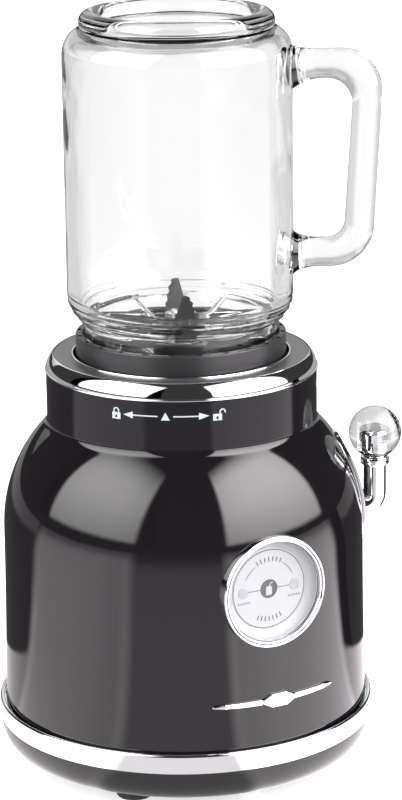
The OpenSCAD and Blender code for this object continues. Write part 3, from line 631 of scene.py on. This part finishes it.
DIAL_ANGLE, DIAL_Z = -67.5, 86
shell = lathe("body_shell_piece", shell_profile(), segments=256, sharp=50)
hole = outwards(lathe("hole", [(0, 55), (19.9, 55), (19.9, 80), (0, 80)], 96), DIAL_ANGLE, DIAL_Z)
shell = boolean(shell, hole, "DIFFERENCE", 50)
slot_hole = outwards(lathe("hole", [(0, 60), (6.4, 60), (6.4, 80), (0, 80)], 64), 0, 98)
shell = boolean(shell, slot_hole, "DIFFERENCE", 50)
cord_hole = outwards(lathe("hole", [(0, 60), (5, 60), (5, 80), (0, 80)], 48), 90, CORD_Z)
shell = boolean(shell, cord_hole, "DIFFERENCE", 50)
finish(shell, "black_enamel", "base", "body_shell")
shell.data.materials.append(COLLAR_ENAMEL)
for face in shell.data.polygons:
    if face.center.z > COLLAR_FOOT_Z * MM:
        face.material_index = 1

PAN_R, PAN_TOP, PAN_CORNER = 60.4, 17.2, 14.2


def pan_corner(share):
    """A corner a little fuller than round, from the flat underside at 0 to nearly upright at 1."""
    t = math.radians(-90 + 88 * share)
    return (PAN_R + PAN_CORNER * math.cos(t) ** 0.82, PAN_TOP - PAN_CORNER * (-math.sin(t)) ** 0.82)


pan_profile = (
    [(0, 3), (PAN_R, 3)] + [pan_corner(i / 28) for i in range(1, 29)]
    + [(74.45, 17.1), (74.2, PAN_TOP), (72.1, PAN_TOP)]
    + arc(PAN_R, PAN_TOP, 11.7, 0, -90, 16)[1:] + [(0, 5.5)]
)
pan = lathe("base_pan_piece", pan_profile, segments=224, sharp=40)
vents = joined("vents", [block((10.5, 3, 8), (44.25, 0, 4), 11.25 + 22.5 * i) for i in range(16)])
pan = boolean(pan, vents, "DIFFERENCE", 40)
for i in range(4):
    a = math.radians(-72 + 90 * i)
    sink = lathe("sink", rounded([(0, 2), (4.6, 2), (4.1, 3.4), (4.1, 5.2), (0, 5.2)]), 48)
    sink.data.transform(Matrix.Translation((60 * math.cos(a) * MM, 60 * math.sin(a) * MM, 0)))
    pan = boolean(pan, sink, "DIFFERENCE", 40)
finish(pan, "black_moulding", "base", "base_pan")

band_profile = rounded([
    (68, 16.3), (74.2, 16.3), (75, 16.9, 0.5), (75, 24.5, 1.1), (74.3, 24.5, 0.2),
    (73.9, 23.9, 0.2), (73.3, 23.9, 0.3), (73.3, 19.0), (68, 19.0),
], 6)
band = lathe("base_band_piece", band_profile, segments=256, sharp=30)
finish(band, "chrome_trim", "base", "base_trim_ring")

ring_profile = (
    [(COLLAR_R - 1, 158.5)] + arc(COLLAR_R + 0.02, 158.95, 0.42, -95, 75, 8)
    + [p for p in arc(COLLAR_R - 8.264, 158.8, 8.264, 4, 47.5, 26) if p[1] < 164.75]
    + [(50.55, 164.95), (50.35, 165), (50.3, 164.6), (50.3, 162.8), (48, 162.8), (48, 158.5)]
)
collar_ring = lathe("collar_ring_piece", ring_profile, segments=256, sharp=40)
finish(collar_ring, "chrome_trim", "base", "collar_ring")

plate_profile = rounded([
    (50.25, 163), (50.25, 164.85, 0.35), (43.25, 164.85, 0.25), (43.25, 163),
], 4)
finish(lathe("top_plate_piece", plate_profile, segments=224), "satin_gray", "base", "top_plate")
lip_profile = rounded([
    (43.25, 162.6), (43.25, 165.3, 0.35), (42.4, 165.3, 0.35), (42.4, 162.6),
], 4)
finish(lathe("socket_lip_piece", lip_profile, segments=224), "chrome_trim", "base", "socket_lip")

for i, foot in enumerate((-117, -27, 63, 153)):
    a = math.radians(foot)
    profile = rounded([
        (0, 0), (6.7, 0, 0.5), (7.2, 0.7, 0.3), (7.2, 2.9, 0.2), (2.45, 3.0), (2.45, 6.4), (0, 6.4),
    ], 3)
    foot_piece = lathe(f"foot_piece_{i}", profile, 72)
    for groove in (3.4, 5.0):
        low, high = groove - 0.35, groove + 0.35
        cut = lathe("cut", [(low, -1), (high, -1), (high, 0.35), (low, 0.35)], 72)
        foot_piece = boolean(foot_piece, cut, "DIFFERENCE")
    foot_piece.data.transform(Matrix.Translation((57 * math.cos(a) * MM, 57 * math.sin(a) * MM, 0)))
    finish(foot_piece, "black_rubber", "base", "feet")

bushing_profile = rounded([
    (3.3, 68), (7, 68), (7, 72.9, 0.3), (8, 72.9), (8, 74.6, 0.8), (5.3, 74.9, 0.4), (3.3, 74.9, 0.6),
], 4)
bushing = outwards(lathe("cord_bushing_piece", bushing_profile, 72), 90, CORD_Z)
finish(bushing, "black_moulding", "base", "cord_bushing")


# ---------- printed marks on the collar ----------


MARKS_Z = 152.9


def on_collar(u, v, height):
    """u runs along the collar's wall from the front, v up from the marks' middle height."""
    a = u / COLLAR_R - math.pi / 2
    r = COLLAR_R + height
    return (r * math.cos(a), r * math.sin(a), MARKS_Z + v)


def collar_u(azimuth):
    return COLLAR_R * math.radians(azimuth)


marks = Ribbons(on_collar)
PRINT = (-0.05, 0.09)


def padlock(middle, is_open):
    marks.taper([(middle - 1.75, -2.1, 0.5), (middle - 0.45, -2.1, 0.5)], *PRINT)
    marks.taper([(middle + 0.45, -2.1, 0.5), (middle + 1.75, -2.1, 0.5)], *PRINT)
    marks.taper([(middle - 0.45, -2.1, -1.6), (middle + 0.45, -2.1, -1.6)], *PRINT, steps=3)
    marks.taper([(middle - 0.45, -0.5, 0.5), (middle + 0.45, -0.5, 0.5)], *PRINT, steps=3)
    at = middle + (2.0 if is_open else 0)
    marks.bow(at, 1.2, 0.75, 1.25, 0, 180, *PRINT)
    marks.bar(at - 1.0, 1.2, at - 1.0, 0.45, 0.5, *PRINT, steps=2)
    marks.bar(at + 1.0, 1.2, at + 1.0, 0.8 if is_open else 0.45, 0.5, *PRINT, steps=2)


padlock(collar_u(-33.8), False)
padlock(collar_u(8.6), True)
tip, neck, tail = collar_u(-30.6), collar_u(-26.4), collar_u(-16.0)
marks.taper([(tip, 0, 0.02), (neck, -1.35, 1.35)], *PRINT)
marks.taper([(neck, -0.24, 0.24), (tail, -0.24, 0.24)], *PRINT, steps=16)
tail, neck, tip = collar_u(-9.6), collar_u(0.9), collar_u(5.2)
marks.taper([(tail, -0.24, 0.24), (neck, -0.24, 0.24)], *PRINT, steps=16)
marks.taper([(neck, -1.35, 1.35), (tip, 0, 0.02)], *PRINT)
peak = collar_u(-12.8)
marks.taper([(peak - 1.7, -1.5, -1.49), (peak, -1.5, 1.6), (peak + 1.7, -1.5, -1.49)], *PRINT)
marks.disc(collar_u(77), -0.4, 1.5, *PRINT)
finish(marks.object("collar_marks"), "light_gray", "base", look=PRINT_LIGHT)


# ---------- badge: a plain bar in place of a name ----------

BADGE_ANGLE, BADGE_R, BADGE_Z = -66.5, 72, 42.5


def on_wall(u, v, height):
    """u runs along the shell's wall from the badge's middle, v up; height outwards."""
    a = math.radians(BADGE_ANGLE) + u / BADGE_R
    r = shell_r(BADGE_Z + v) + height
    return (r * math.cos(a), r * math.sin(a), BADGE_Z + v)


badge = Ribbons(on_wall)
half = BADGE_R * math.radians(21.5)
badge.taper([(-half, -0.35, 0.35), (-half + 5, -0.9, 0.9), (-7.2, -1.0, 1.0)], -0.05, 1.1, steps=10)
badge.taper([(7.2, -1.0, 1.0), (half - 5, -0.9, 0.9), (half, -0.35, 0.35)], -0.05, 1.1, steps=10)
lozenge = [(-7.3, -0.5, 0.5), (-3.2, -2.6, 2.6), (3.2, -2.6, 2.6), (7.3, -0.5, 0.5)]
badge.taper(lozenge, -0.05, 1.35, steps=8)
finish(bevelled(badge.object("badge_piece"), 0.28, 3), "chrome_trim", "base", "badge")


# ---------- dial ----------

bezel_profile = (
    [(19.65, 68.0), (20.3, 68.0), (20.3, 69.5), (20.42, 69.5), (20.42, 65.5), (22, 65.5)]
    + arc(21.5, 72.1, 0.5, 0, 165, 12) + [(21.0, 71.5), (20.8, 71.5)]
    + arc(20.35, 72.0, 0.42, 20, 175, 10) + [(19.85, 70.6)]
)
bezel = outwards(lathe("bezel_piece", bezel_profile, 192, 30), DIAL_ANGLE, DIAL_Z)
core_wall = [(shell_r(z) - 0.5, z) for z in (60, 75, 90, DOME_Z, 100, 105, 112)]
core = lathe("core", [(0, 60)] + core_wall + [(0, 112)], 256)
pocket = outwards(lathe("pocket", [(0, 50), (20.4, 50), (20.4, 90), (0, 90)], 192), DIAL_ANGLE, DIAL_Z)
bezel = boolean(bezel, boolean(core, pocket, "DIFFERENCE"), "DIFFERENCE", 30)
finish(bezel, "chrome_trim", "base", "dial_bezel")
# Faces in the groove and on the inner wall below the lens get the dark chrome copy: painted shade in the
# groove and inside the bezel.
bezel.data.materials.append(CHROME_PAINTED_SHADE)
dial_out = Vector((math.cos(math.radians(DIAL_ANGLE)), math.sin(math.radians(DIAL_ANGLE)), 0))
for face in bezel.data.polygons:
    depth = face.center.dot(dial_out) / MM
    off = (face.center - dial_out * depth * MM - Vector((0, 0, DIAL_Z * MM))).length / MM
    in_groove = 20.78 < off < 21.08 and depth > 70
    if in_groove or off < 19.9 and depth < 71.2:
        face.material_index = 1

dish_profile = (
    [(0, 67.35), (15.85, 67.35), (16.1, 67.2), (16.35, 67.4), (17.2, 67.8), (17.35, 67.75),
     (18.2, 68.3), (18.35, 68.25), (19.1, 69.2), (19.2, 70.6), (19.6, 70.6), (19.62, 68.0),
     (20.34, 67.9), (20.34, 67.0), (0, 67.0)]
)
dish = outwards(lathe("dial_dish_piece", dish_profile, 192, 25), DIAL_ANGLE, DIAL_Z)
finish(dish, "dial_silver", "base", "dial_face")


DIAL_FACE_R = 67.35


def on_dial(u, v, height):
    """u to the right and v up, as seen facing the dial; height outwards from its face."""
    a = math.radians(DIAL_ANGLE)
    r = DIAL_FACE_R + height
    return (r * math.cos(a) - u * math.sin(a), r * math.sin(a) + u * math.cos(a), DIAL_Z + v)


INK = (-0.03, 0.05)
ink = Ribbons(on_dial)
ink.bow(0, 0, 15.35, 15.68, 0, 180, *INK, steps=72)
ink.bow(0, 0, 15.35, 15.68, 180, 360, *INK, steps=72)
ink.disc(0, 0, 3.75, *INK, steps=32)
for s in (-1, 1):
    ink.bar(s * 3.5, 0, s * 9.3, 0, 0.32, *INK, steps=2)
    ink.bow(0, 0, 11.1, 11.42, 90 - s * 33, 90 - s * 64, *INK, steps=16)
    for k in range(5):
        ink.bar(s * (8.7 + 1.15 * k), -3.7, s * (8.7 + 1.15 * k), -4.7, 0.45, *INK, steps=1)
for k in range(-3, 4):
    for turn, inner in ((90 + k * 8.5, 10.9), (270 + k * 8.0, 11.0)):
        c, s = math.cos(math.radians(turn)), math.sin(math.radians(turn))
        ink.bar(inner * c, inner * s, (inner + 1.9) * c, (inner + 1.9) * s, 0.5, *INK, steps=1)
finish(ink.object("dial_marks"), "light_gray", "base", look=PRINT_GRAY)

glyph = Ribbons(on_dial)
glyph.taper([(-1.25, -2.5, 0.95), (1.25, -2.5, 0.95)], 0.04, 0.09)
glyph.bar(0.1, 0.9, 0.75, 2.3, 0.36, 0.04, 0.09, steps=2)
glyph.bar(0.7, 2.2, 1.7, 2.5, 0.36, 0.04, 0.09, steps=2)
finish(glyph.object("dial_glyph"), "dial_silver", "base")

for i, s in enumerate((-1, 1)):
    profile = rounded([
        (0, 61.7), (1.88, 61.7), (1.88, 67.3), (2.2, 67.36), (2.2, 67.62, 0.12), (2.0, 67.66), (0, 67.74),
    ], 4)
    light = lathe(f"light_piece_{i}", profile, 64)
    light.data.transform(Matrix.Translation((0, s * 11.3 * MM, 0)))
    finish(outwards(light, DIAL_ANGLE, DIAL_Z), "light_gray", "base", "indicator_lights")

lens_profile = [(0, 71.1), (19.55, 71.1), (19.6, 71.2), (19.6, 71.55)] + [
    (19.5 * (1 - k / 8), 71.6 + 0.3 * (1 - (1 - k / 8) ** 2)) for k in range(9)
]
lens = outwards(lathe("lens_piece", lens_profile, 128), DIAL_ANGLE, DIAL_Z)
finish(lens, "clear_lens", "base", "dial_lens")


# ---------- lever ----------

LEVER_X, LEVER_Z, LEVER_R = 77.3, 98, 4.5
KNOB_Z, KNOB_R = 128.2, 10.5
PLATE_R = 70


def stadium_plate(name, half_w, low, high, inner, outer):
    """A rounded upright plate that follows the shell, from inner to outer above its surface."""

    def on_shell(u, v, h):
        r, a = shell_r(v) + h, u / PLATE_R
        return (r * math.cos(a), r * math.sin(a), v)

    plate = Ribbons(on_shell)
    rows = []
    for i in range(49):
        z = low + (high - low) * i / 48
        over = max(0, low + half_w - z, z - (high - half_w))
        rows.append((z, math.sqrt(max(half_w**2 - over**2, 0.05))))
    plate.add([(-w, z) for z, w in rows], [(w, z) for z, w in rows], inner, outer)
    return plate.object(name)


escutcheon = stadium_plate("escutcheon_piece", 9.5, 84, 130, -0.05, 1.2)
opening = stadium_plate("opening", 7.6, 85.9, 128.1, -2, 3)
escutcheon = boolean(escutcheon, opening, "DIFFERENCE", 30)
finish(bevelled(escutcheon, 0.3, 3), "chrome_trim", "base", "lever_escutcheon")
panel = stadium_plate("escutcheon_panel", 7.58, 85.92, 128.08, -0.05, 0.55)
bore = outwards(lathe("bore", [(0, 60), (6.4, 60), (6.4, 80), (0, 80)], 64), 0, LEVER_Z)
finish(boolean(panel, bore, "DIFFERENCE", 30), "black_moulding", "base")

bend = 5.2
stations = [(38, LEVER_Z, 0, LEVER_R)]
corner = [
    (x, z, 90 * i / 14, LEVER_R)
    for i, (x, z) in enumerate(arc(LEVER_X - bend, LEVER_Z + bend, bend, -90, 0, 14))
]
arm = tube("lever_arm_piece", stations + corner + [(LEVER_X, 115.8, 90, LEVER_R)], 64)
collar_profile = rounded([
    (0, 114.6), (4.4, 114.6), (5.6, 115.3, 0.3), (5.8, 116.3, 0.3), (5.0, 116.75, 0.2),
    (5.8, 117.2, 0.2), (5.6, 118.2, 0.3), (4.9, 118.5, 0.2), (4.3, 118.5), (0, 118.5),
], 5)
collar = lathe("collar", collar_profile, 64)
collar.data.transform(Matrix.Translation((LEVER_X * MM, 0, 0)))
finish(boolean(arm, collar, "UNION", 40), "chrome_trim", "lever", "lever_arm")
plug = lathe("knob_insert_piece", rounded([
    (0, 118.4), (4.5, 118.4), (4.5, 121.6, 0.2), (4.15, 122.0, 0.2), (4.6, 122.5, 0.3),
    (4.6, 129.4, 2.0), (0, 130.7),
], 5), 64)
plug.data.transform(Matrix.Translation((LEVER_X * MM, 0, 0)))
finish(plug, "chrome_trim", "lever")

edge = 4.58
ball = [(edge, KNOB_Z - math.sqrt(KNOB_R**2 - edge**2))]
lowest = math.degrees(math.asin((ball[0][1] - KNOB_Z) / KNOB_R))
ball += arc(0, KNOB_Z, KNOB_R, lowest + 1, 90, 48)[:-1] + [(0, KNOB_Z + KNOB_R)]
cavity = [(0, 130.68)] + rounded([(0, 130.68), (edge, 129.38, 2.0), (edge, 118.8)], 5)[1:-1]
knob = lathe("knob_piece", ball + cavity, 128, 40)
knob.data.transform(Matrix.Translation((LEVER_X * MM, 0, 0)))
finish(knob, "knob_acrylic", "lever", "lever_knob")


# ---------- blade cup ----------

cup_profile = rounded([
    (38.3, 153), (38.3, 172.6, 0.3), (38.8, 173.1, 0.2), (41.3, 173.1, 0.55), (41.3, 161.2, 0.5),
    (40.3, 160.8, 0.3), (40.3, 136.3, 0.4), (38.3, 136.3, 0.3), (38.3, 150, 0.4), (11, 150),
    (7.05, 150), (7.05, 171.6), (10.4, 171.6, 0.8), (11, 153),
], 4)
cup = lathe("blade_cup_piece", cup_profile, 240, 35)
pockets = joined("pockets", [block((1.5, 2.4, 2), (40.05, 0, 173.1), 15 * i + 4) for i in range(24)])
cup = boolean(cup, pockets, "DIFFERENCE")


def arc_solid(inner, outer, low, high, middle, span, steps=16):
    """A block bent round the axis, as corners and faces."""
    verts, faces = [], []
    for i in range(steps + 1):
        a = math.radians(middle - span / 2 + span * i / steps)
        corners = ((inner, low), (outer, low), (outer, high), (inner, high))
        verts += [(r * math.cos(a), r * math.sin(a), z) for r, z in corners]
    for i in range(steps):
        for k in range(4):
            j = (k + 1) % 4
            faces.append((4 * i + k, 4 * i + j, 4 * i + 4 + j, 4 * i + 4 + k))
    faces += [(3, 2, 1, 0), (4 * steps, 4 * steps + 1, 4 * steps + 2, 4 * steps + 3)]
    return verts, faces


lugs = joined("lugs", [arc_solid(39.5, 42.0, 143, 147, 45 + 90 * i, 29.6) for i in range(4)])
lugs = bevelled(lugs, 0.4, 2)
cup = boolean(cup, lugs, "UNION")
ribs = joined("ribs", [block((22.9, 2, 8.7), (27.35, 0, 146.35), 60 * i + 0.4) for i in range(6)])
cup = boolean(cup, ribs, "UNION")


def helix(name, r_in, r_out, z0, pitch, first, span, width, steps=96):
    """A thread of rounded triangular section that fades in and out."""
    verts, faces = [], []
    for i in range(steps + 1):
        s = i / steps
        a = math.radians(first + span * s)
        fade = min(1, s * 10, (1 - s) * 10)
        tip = r_in + (r_out - r_in) * (0.15 + 0.85 * fade)
        z = z0 + pitch * span * s / 360
        for r, dz in ((r_in, -width / 2), (tip, -width / 5), (tip, width / 5), (r_in, width / 2)):
            verts.append((r * math.cos(a), r * math.sin(a), z + dz))
    for i in range(steps):
        for k in range(4):
            j = (k + 1) % 4
            faces.append((4 * i + k, 4 * i + j, 4 * i + 4 + j, 4 * i + 4 + k))
    faces += [(3, 2, 1, 0), tuple(4 * steps + k for k in range(4))]
    return mesh_object(name, verts, faces)


cup = boolean(cup, helix("thread", 38.5, 37.2, 161.2, 5, 0, 300, 1.9), "UNION")
finish(cup, "charcoal_cup", "cup", "blade_cup")


# ---------- interlock spring, wound round the pin -------------------

PIN_X, PIN_Y, SPRING_LOW, SPRING_HIGH = -41.55, -6.6, 116.15, 127.85


def coil(name, coil_r, wire_r, low, high, turns, sides=12, steps_per_turn=40):
    """A compression spring with a closed turn at each end."""
    steps, verts, faces = turns * steps_per_turn, [], []
    closed, lead = 0.8, 1.8 * wire_r
    climb = high - low - 2 * wire_r - 2 * closed * lead
    for i in range(steps + 1):
        turned = turns * i / steps
        a = 2 * math.pi * turned
        share = min(1, max(0, (turned - closed) / (turns - 2 * closed)))
        ends = lead * (min(turned, closed) + max(0, turned - turns + closed))
        z = low + wire_r + ends + climb * share
        for k in range(sides):
            b = 2 * math.pi * k / sides
            r = coil_r + wire_r * math.cos(b)
            verts.append((PIN_X + r * math.cos(a), PIN_Y + r * math.sin(a), z + wire_r * math.sin(b)))
    for i in range(steps):
        for k in range(sides):
            j = (k + 1) % sides
            faces.append((i * sides + k, i * sides + j, (i + 1) * sides + j, (i + 1) * sides + k))
    faces += [tuple(range(sides - 1, -1, -1)), tuple(steps * sides + k for k in range(sides))]
    return mesh_object(name, verts, faces, 50)


spring = coil("interlock_spring_piece", 2.3, 0.38, SPRING_LOW, SPRING_HIGH, 7)
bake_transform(spring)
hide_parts("interlock_spring")
spring.data.materials.append(FINISH["zinc_steel"])


# ---------- jar ----------


JAR_R, JAR_BORE_R = 44.3, 40
WALL_FOOT_Z, WALL_TOP_Z = 190, 283
HANDLE_ANGLE, HANDLE_TOP_Z, HANDLE_FOOT_Z = -6, 278, 204


def jar_wall(r):
    return [(r, z) for z in (WALL_FOOT_Z + (WALL_TOP_Z - WALL_FOOT_Z) * i / 24 for i in range(1, 24))]


def jar_profile():
    """The jar upside down, its mouth at the cup: the inside line, then the outside line."""
    neck = math.degrees(math.asin((37.8 - 30.2) / 14.1))
    foot = [(33.4, 155, 1.0), (36.4, 155, 1.0), (36.4, 170.4, 0.6), (37.8, 171.2, 0.6), (37.8, 176)]
    outer = rounded(foot, 5)[:-1]
    outer += [(37.8, 175.2), (37.83, 176.6), (38.1, 178.0)]
    outer += arc(30.2, WALL_FOOT_Z, 14.1, neck - 90 + 2, 0, 26) + jar_wall(JAR_R)
    outer += arc(33.8, WALL_TOP_Z, 10.5, 0, 66, 18) + [(37.75, 292.95), (37.45, 293.35)]
    outer += arc(33.4, 295.0, 4.3, -24, 190, 40) + [(28.9, 293.9), (28.0, 293.7)]
    outer += [(22, 293.85), (14, 293.95), (7, 294.0), (0, 294.0)]
    inner = [(0, 288.4), (8, 288.5), (16, 288.75), (24, 289.05), (30, 289.2)]
    inner += arc(33.8, WALL_TOP_Z, 6.2, 90, 0, 14) + jar_wall(JAR_BORE_R)[::-1]
    inner += arc(30.2, WALL_FOOT_Z, 9.8, 0, -70, 18) + [(33.4, z) for z in (180.2, 176, 166, 158)]
    return inner + outer, len(inner)


profile, inner_count = jar_profile()


def uneven(r, z, a, k):
    """Pressed glass: wavy inside, most of all beside the handle; nearly true outside."""
    if r < 20:
        return r
    inside = k < inner_count
    fade = min(1, max(0, (z - 182) / 10)) * min(1, max(0, (292 - z) / 6))
    facing = math.cos(a + 0.1)
    beside, opposite = max(0, facing) ** 5, max(0, -facing) ** 5
    wave = 0.3 * math.sin(2 * a + 0.7) + 0.18 * math.sin(3 * a + z / 17)
    wave += 0.13 * math.sin(5 * a - z / 11 + 1)
    wave *= 0.3 + 0.7 * max(0, facing) ** 2
    wave += (0.03 + 0.19 * beside) * math.sin(z / 6.5 + 2 * a)
    wave += (0.22 * beside + 0.05 * opposite) * math.sin(13 * a + math.sin(z / 13) * 2 + z / 19)
    fine = (0.02 + 0.1 * beside) * math.sin(5 * a + z / 15) + 0.02 * math.sin(9 * a - z / 13)
    crown = min(1, max(0, (z - 256) / 10))
    fine += crown * (0.1 * math.sin(9 * a + z / 4) + 0.06 * math.sin(19 * a - z / 3))
    neck = min(1, max(0, (189 - z) / 5)) * min(1, max(0, (z - (160 if inside else 173.6)) / 2))
    rings = 0.36 * math.sin(z * 1.9 + 2 * a) + 0.16 * math.sin(z * 4.1 + 5 * a) + 0.14 * math.sin(9 * a + z)
    return r + fade * (wave if inside else fine) + neck * rings


glass = lathe("jar_piece", profile, 288, 60, warp=uneven)


def handle_stations():
    """A flared root, two corners with their own outer and inner arcs, and a lower flared root."""
    out, thick, lean = [], 5.8, 2.9
    root = (
        (-2.6, 4.6, 1.6), (0, 3.9, 1.1), (1.2, 3.2, 0.6), (2.6, 2.4, 0.3),
        (4.4, 1.5, 0.1), (6.6, 0.7, 0), (9, 0.2, 0),
    )
    for x, drop, rise in root:
        out.append((JAR_R + x, HANDLE_TOP_Z + (rise - drop) / 2, 0, thick + (rise + drop) / 2))
    for ox, oz, outer, ix, iz, inner, first, last in (
        (62.7, 267.8, 16, 57.1, 262.2, 10, 90, -lean),
        (58.8, 215.2, 17, 57.2, 216.8, 7.0, -lean, -90),
    ):
        for i in range(21):
            t = math.radians(first + (last - first) * i / 20)
            far = Vector((ox + outer * math.cos(t), oz + outer * math.sin(t)))
            near = Vector((ix + inner * math.cos(t), iz + inner * math.sin(t)))
            middle, across = (far + near) / 2, far - near
            heading = math.degrees(math.atan2(across.y, across.x)) - 90
            out.append((middle.x, middle.y, heading, across.length / 2))
    for x, flare in ((9, 0), (6.5, 0.2), (4.4, 0.6), (2.6, 1.1), (1.2, 1.8), (0, 2.7), (-2.6, 3.7)):
        out.append((JAR_R + x, HANDLE_FOOT_Z, -180, thick + flare))
    return out


handle = tube("handle", handle_stations(), 48, 60)
handle.data.transform(Matrix.Rotation(math.radians(HANDLE_ANGLE), 4, "Z"))
glass = boolean(glass, handle, "UNION", 60)
jar_thread = helix("thread", 36.2, 37.5, 161, 5, 130, 210, 1.8)
glass = boolean(glass, jar_thread, "UNION", 60)
finish(glass, "clear_glass", "jar", "jar")

gasket_profile = rounded([(32.6, 153.05), (37.9, 153.05), (37.9, 154.95, 0.4), (32.6, 154.95, 0.4)], 4)
finish(lathe("gasket_piece", gasket_profile, 160), "gray_silicone", "gasket", "jar_gasket")


# ---------- blades ----------


def blade(name, z, angle, bend_x, rise, length, width):
    """One strip of steel with a wing at each end, cut from sheet and bent up."""
    verts, faces = [], []
    steps, bend_r, gauge, hub_r = 56, 2.4, 1.2, 7.2
    heel, first_tooth, last_tooth, teeth, tooth_depth = 0.08, 0.12, 0.93, 5, 1.9
    rise_rad = math.radians(rise)
    flat = bend_x - bend_r * math.tan(rise_rad / 2)
    curve = bend_r * rise_rad
    total = flat + curve + length
    for i in range(-steps, steps + 1):
        s = abs(i) / steps * total
        sign = 1 if i >= 0 else -1
        if s <= flat:
            x, dz, tilt = s, 0, 0
        elif s <= flat + curve:
            tilt = (s - flat) / bend_r
            x, dz = flat + bend_r * math.sin(tilt), bend_r * (1 - math.cos(tilt))
        else:
            tilt, d = rise_rad, s - flat - curve
            x = flat + bend_r * math.sin(tilt) + d * math.cos(tilt)
            dz = bend_r * (1 - math.cos(tilt)) + d * math.sin(tilt)
        out = max(0, (s - flat) / (length + curve))
        half = width / 2
        back = half * (1 - 0.35 * out**1.5)
        edge = half * (1 - 1.05 * out**1.6)
        if first_tooth < out < last_tooth:
            edge += tooth_depth * (abs((out * teeth) % 1 - 0.5) - 0.25)
        if s < hub_r:
            hub = math.sqrt(hub_r**2 - s**2)
            back, edge = max(back, hub), max(edge, hub)
        grind, lip = (1.6, 0.18) if out > heel else (0.35, 0.95)
        nx, nz = -math.sin(tilt) * sign, math.cos(tilt)
        rows = [
            (-back, 0.25, 0.95), (-back + 0.35, 0, gauge), (edge - grind, 0, gauge), (edge, 0, lip),
        ]
        if sign < 0:
            rows = [(-y, a, b) for y, a, b in reversed(rows)]
        for y, a, b in rows:
            for t in (a, b):
                verts.append((sign * x + nx * t, y, z + dz + nz * t))
    per, count = 8, 2 * steps + 1
    for i in range(count - 1):
        p, q = i * per, (i + 1) * per
        for k in range(3):
            faces.append((p + 2 * k, p + 2 * k + 2, q + 2 * k + 2, q + 2 * k))
            faces.append((p + 2 * k + 1, q + 2 * k + 1, q + 2 * k + 3, p + 2 * k + 3))
        faces.append((p, q, q + 1, p + 1))
        faces.append((p + 6, p + 7, q + 7, q + 6))
    for p in (0, (count - 1) * per):
        for k in range(3):
            faces.append((p + 2 * k, p + 2 * k + 1, p + 2 * k + 3, p + 2 * k + 2))
    obj = mesh_object(name, verts, faces, 30)
    obj.data.transform(Matrix.Rotation(math.radians(angle), 4, "Z"))
    return obj


# The upper blade wears the near-black copy of the stainless finish: painted shade.
for name, z, angle, bend_x, rise, length, width, cad, look in (
    ("lower_blade_piece", 175.4, 2, 9, 50, 14.6, 9, "lower_blade", None),
    ("upper_blade_piece", 176.6, 97, 8, 60, 14.6, 9, "upper_blade", STEEL_PAINTED_SHADE),
):
    wing = blade(name, z, angle, bend_x, rise, length, width)
    wing = boolean(wing, lathe("bore", [(0, 170), (3.9, 170), (3.9, 182), (0, 182)], 48), "DIFFERENCE", 30)
    finish(wing, "stainless", "blades", cad, look=look)

nut_profile = [(3.9, 177.8), (6.2, 177.8), (6.2, 180.4), (5.5, 181.2), (3.9, 181.2)]
nut = lathe("blade_nut_piece", nut_profile, 6, 20)
finish(bevelled(nut, 0.18, 2, sharp=30), "stainless", "blades", "blade_nut")
shaft_profile = rounded([
    (0, 146), (4, 146, 0.4), (4, 173.2), (6.4, 173.2), (6.4, 175.4), (4, 175.4),
    (4, 181.6, 0.5), (2.6, 182.4, 0.4), (0, 182.4),
], 4)
finish(lathe("blade_shaft_piece", shaft_profile, 64), "stainless", "blades", "blade_shaft")
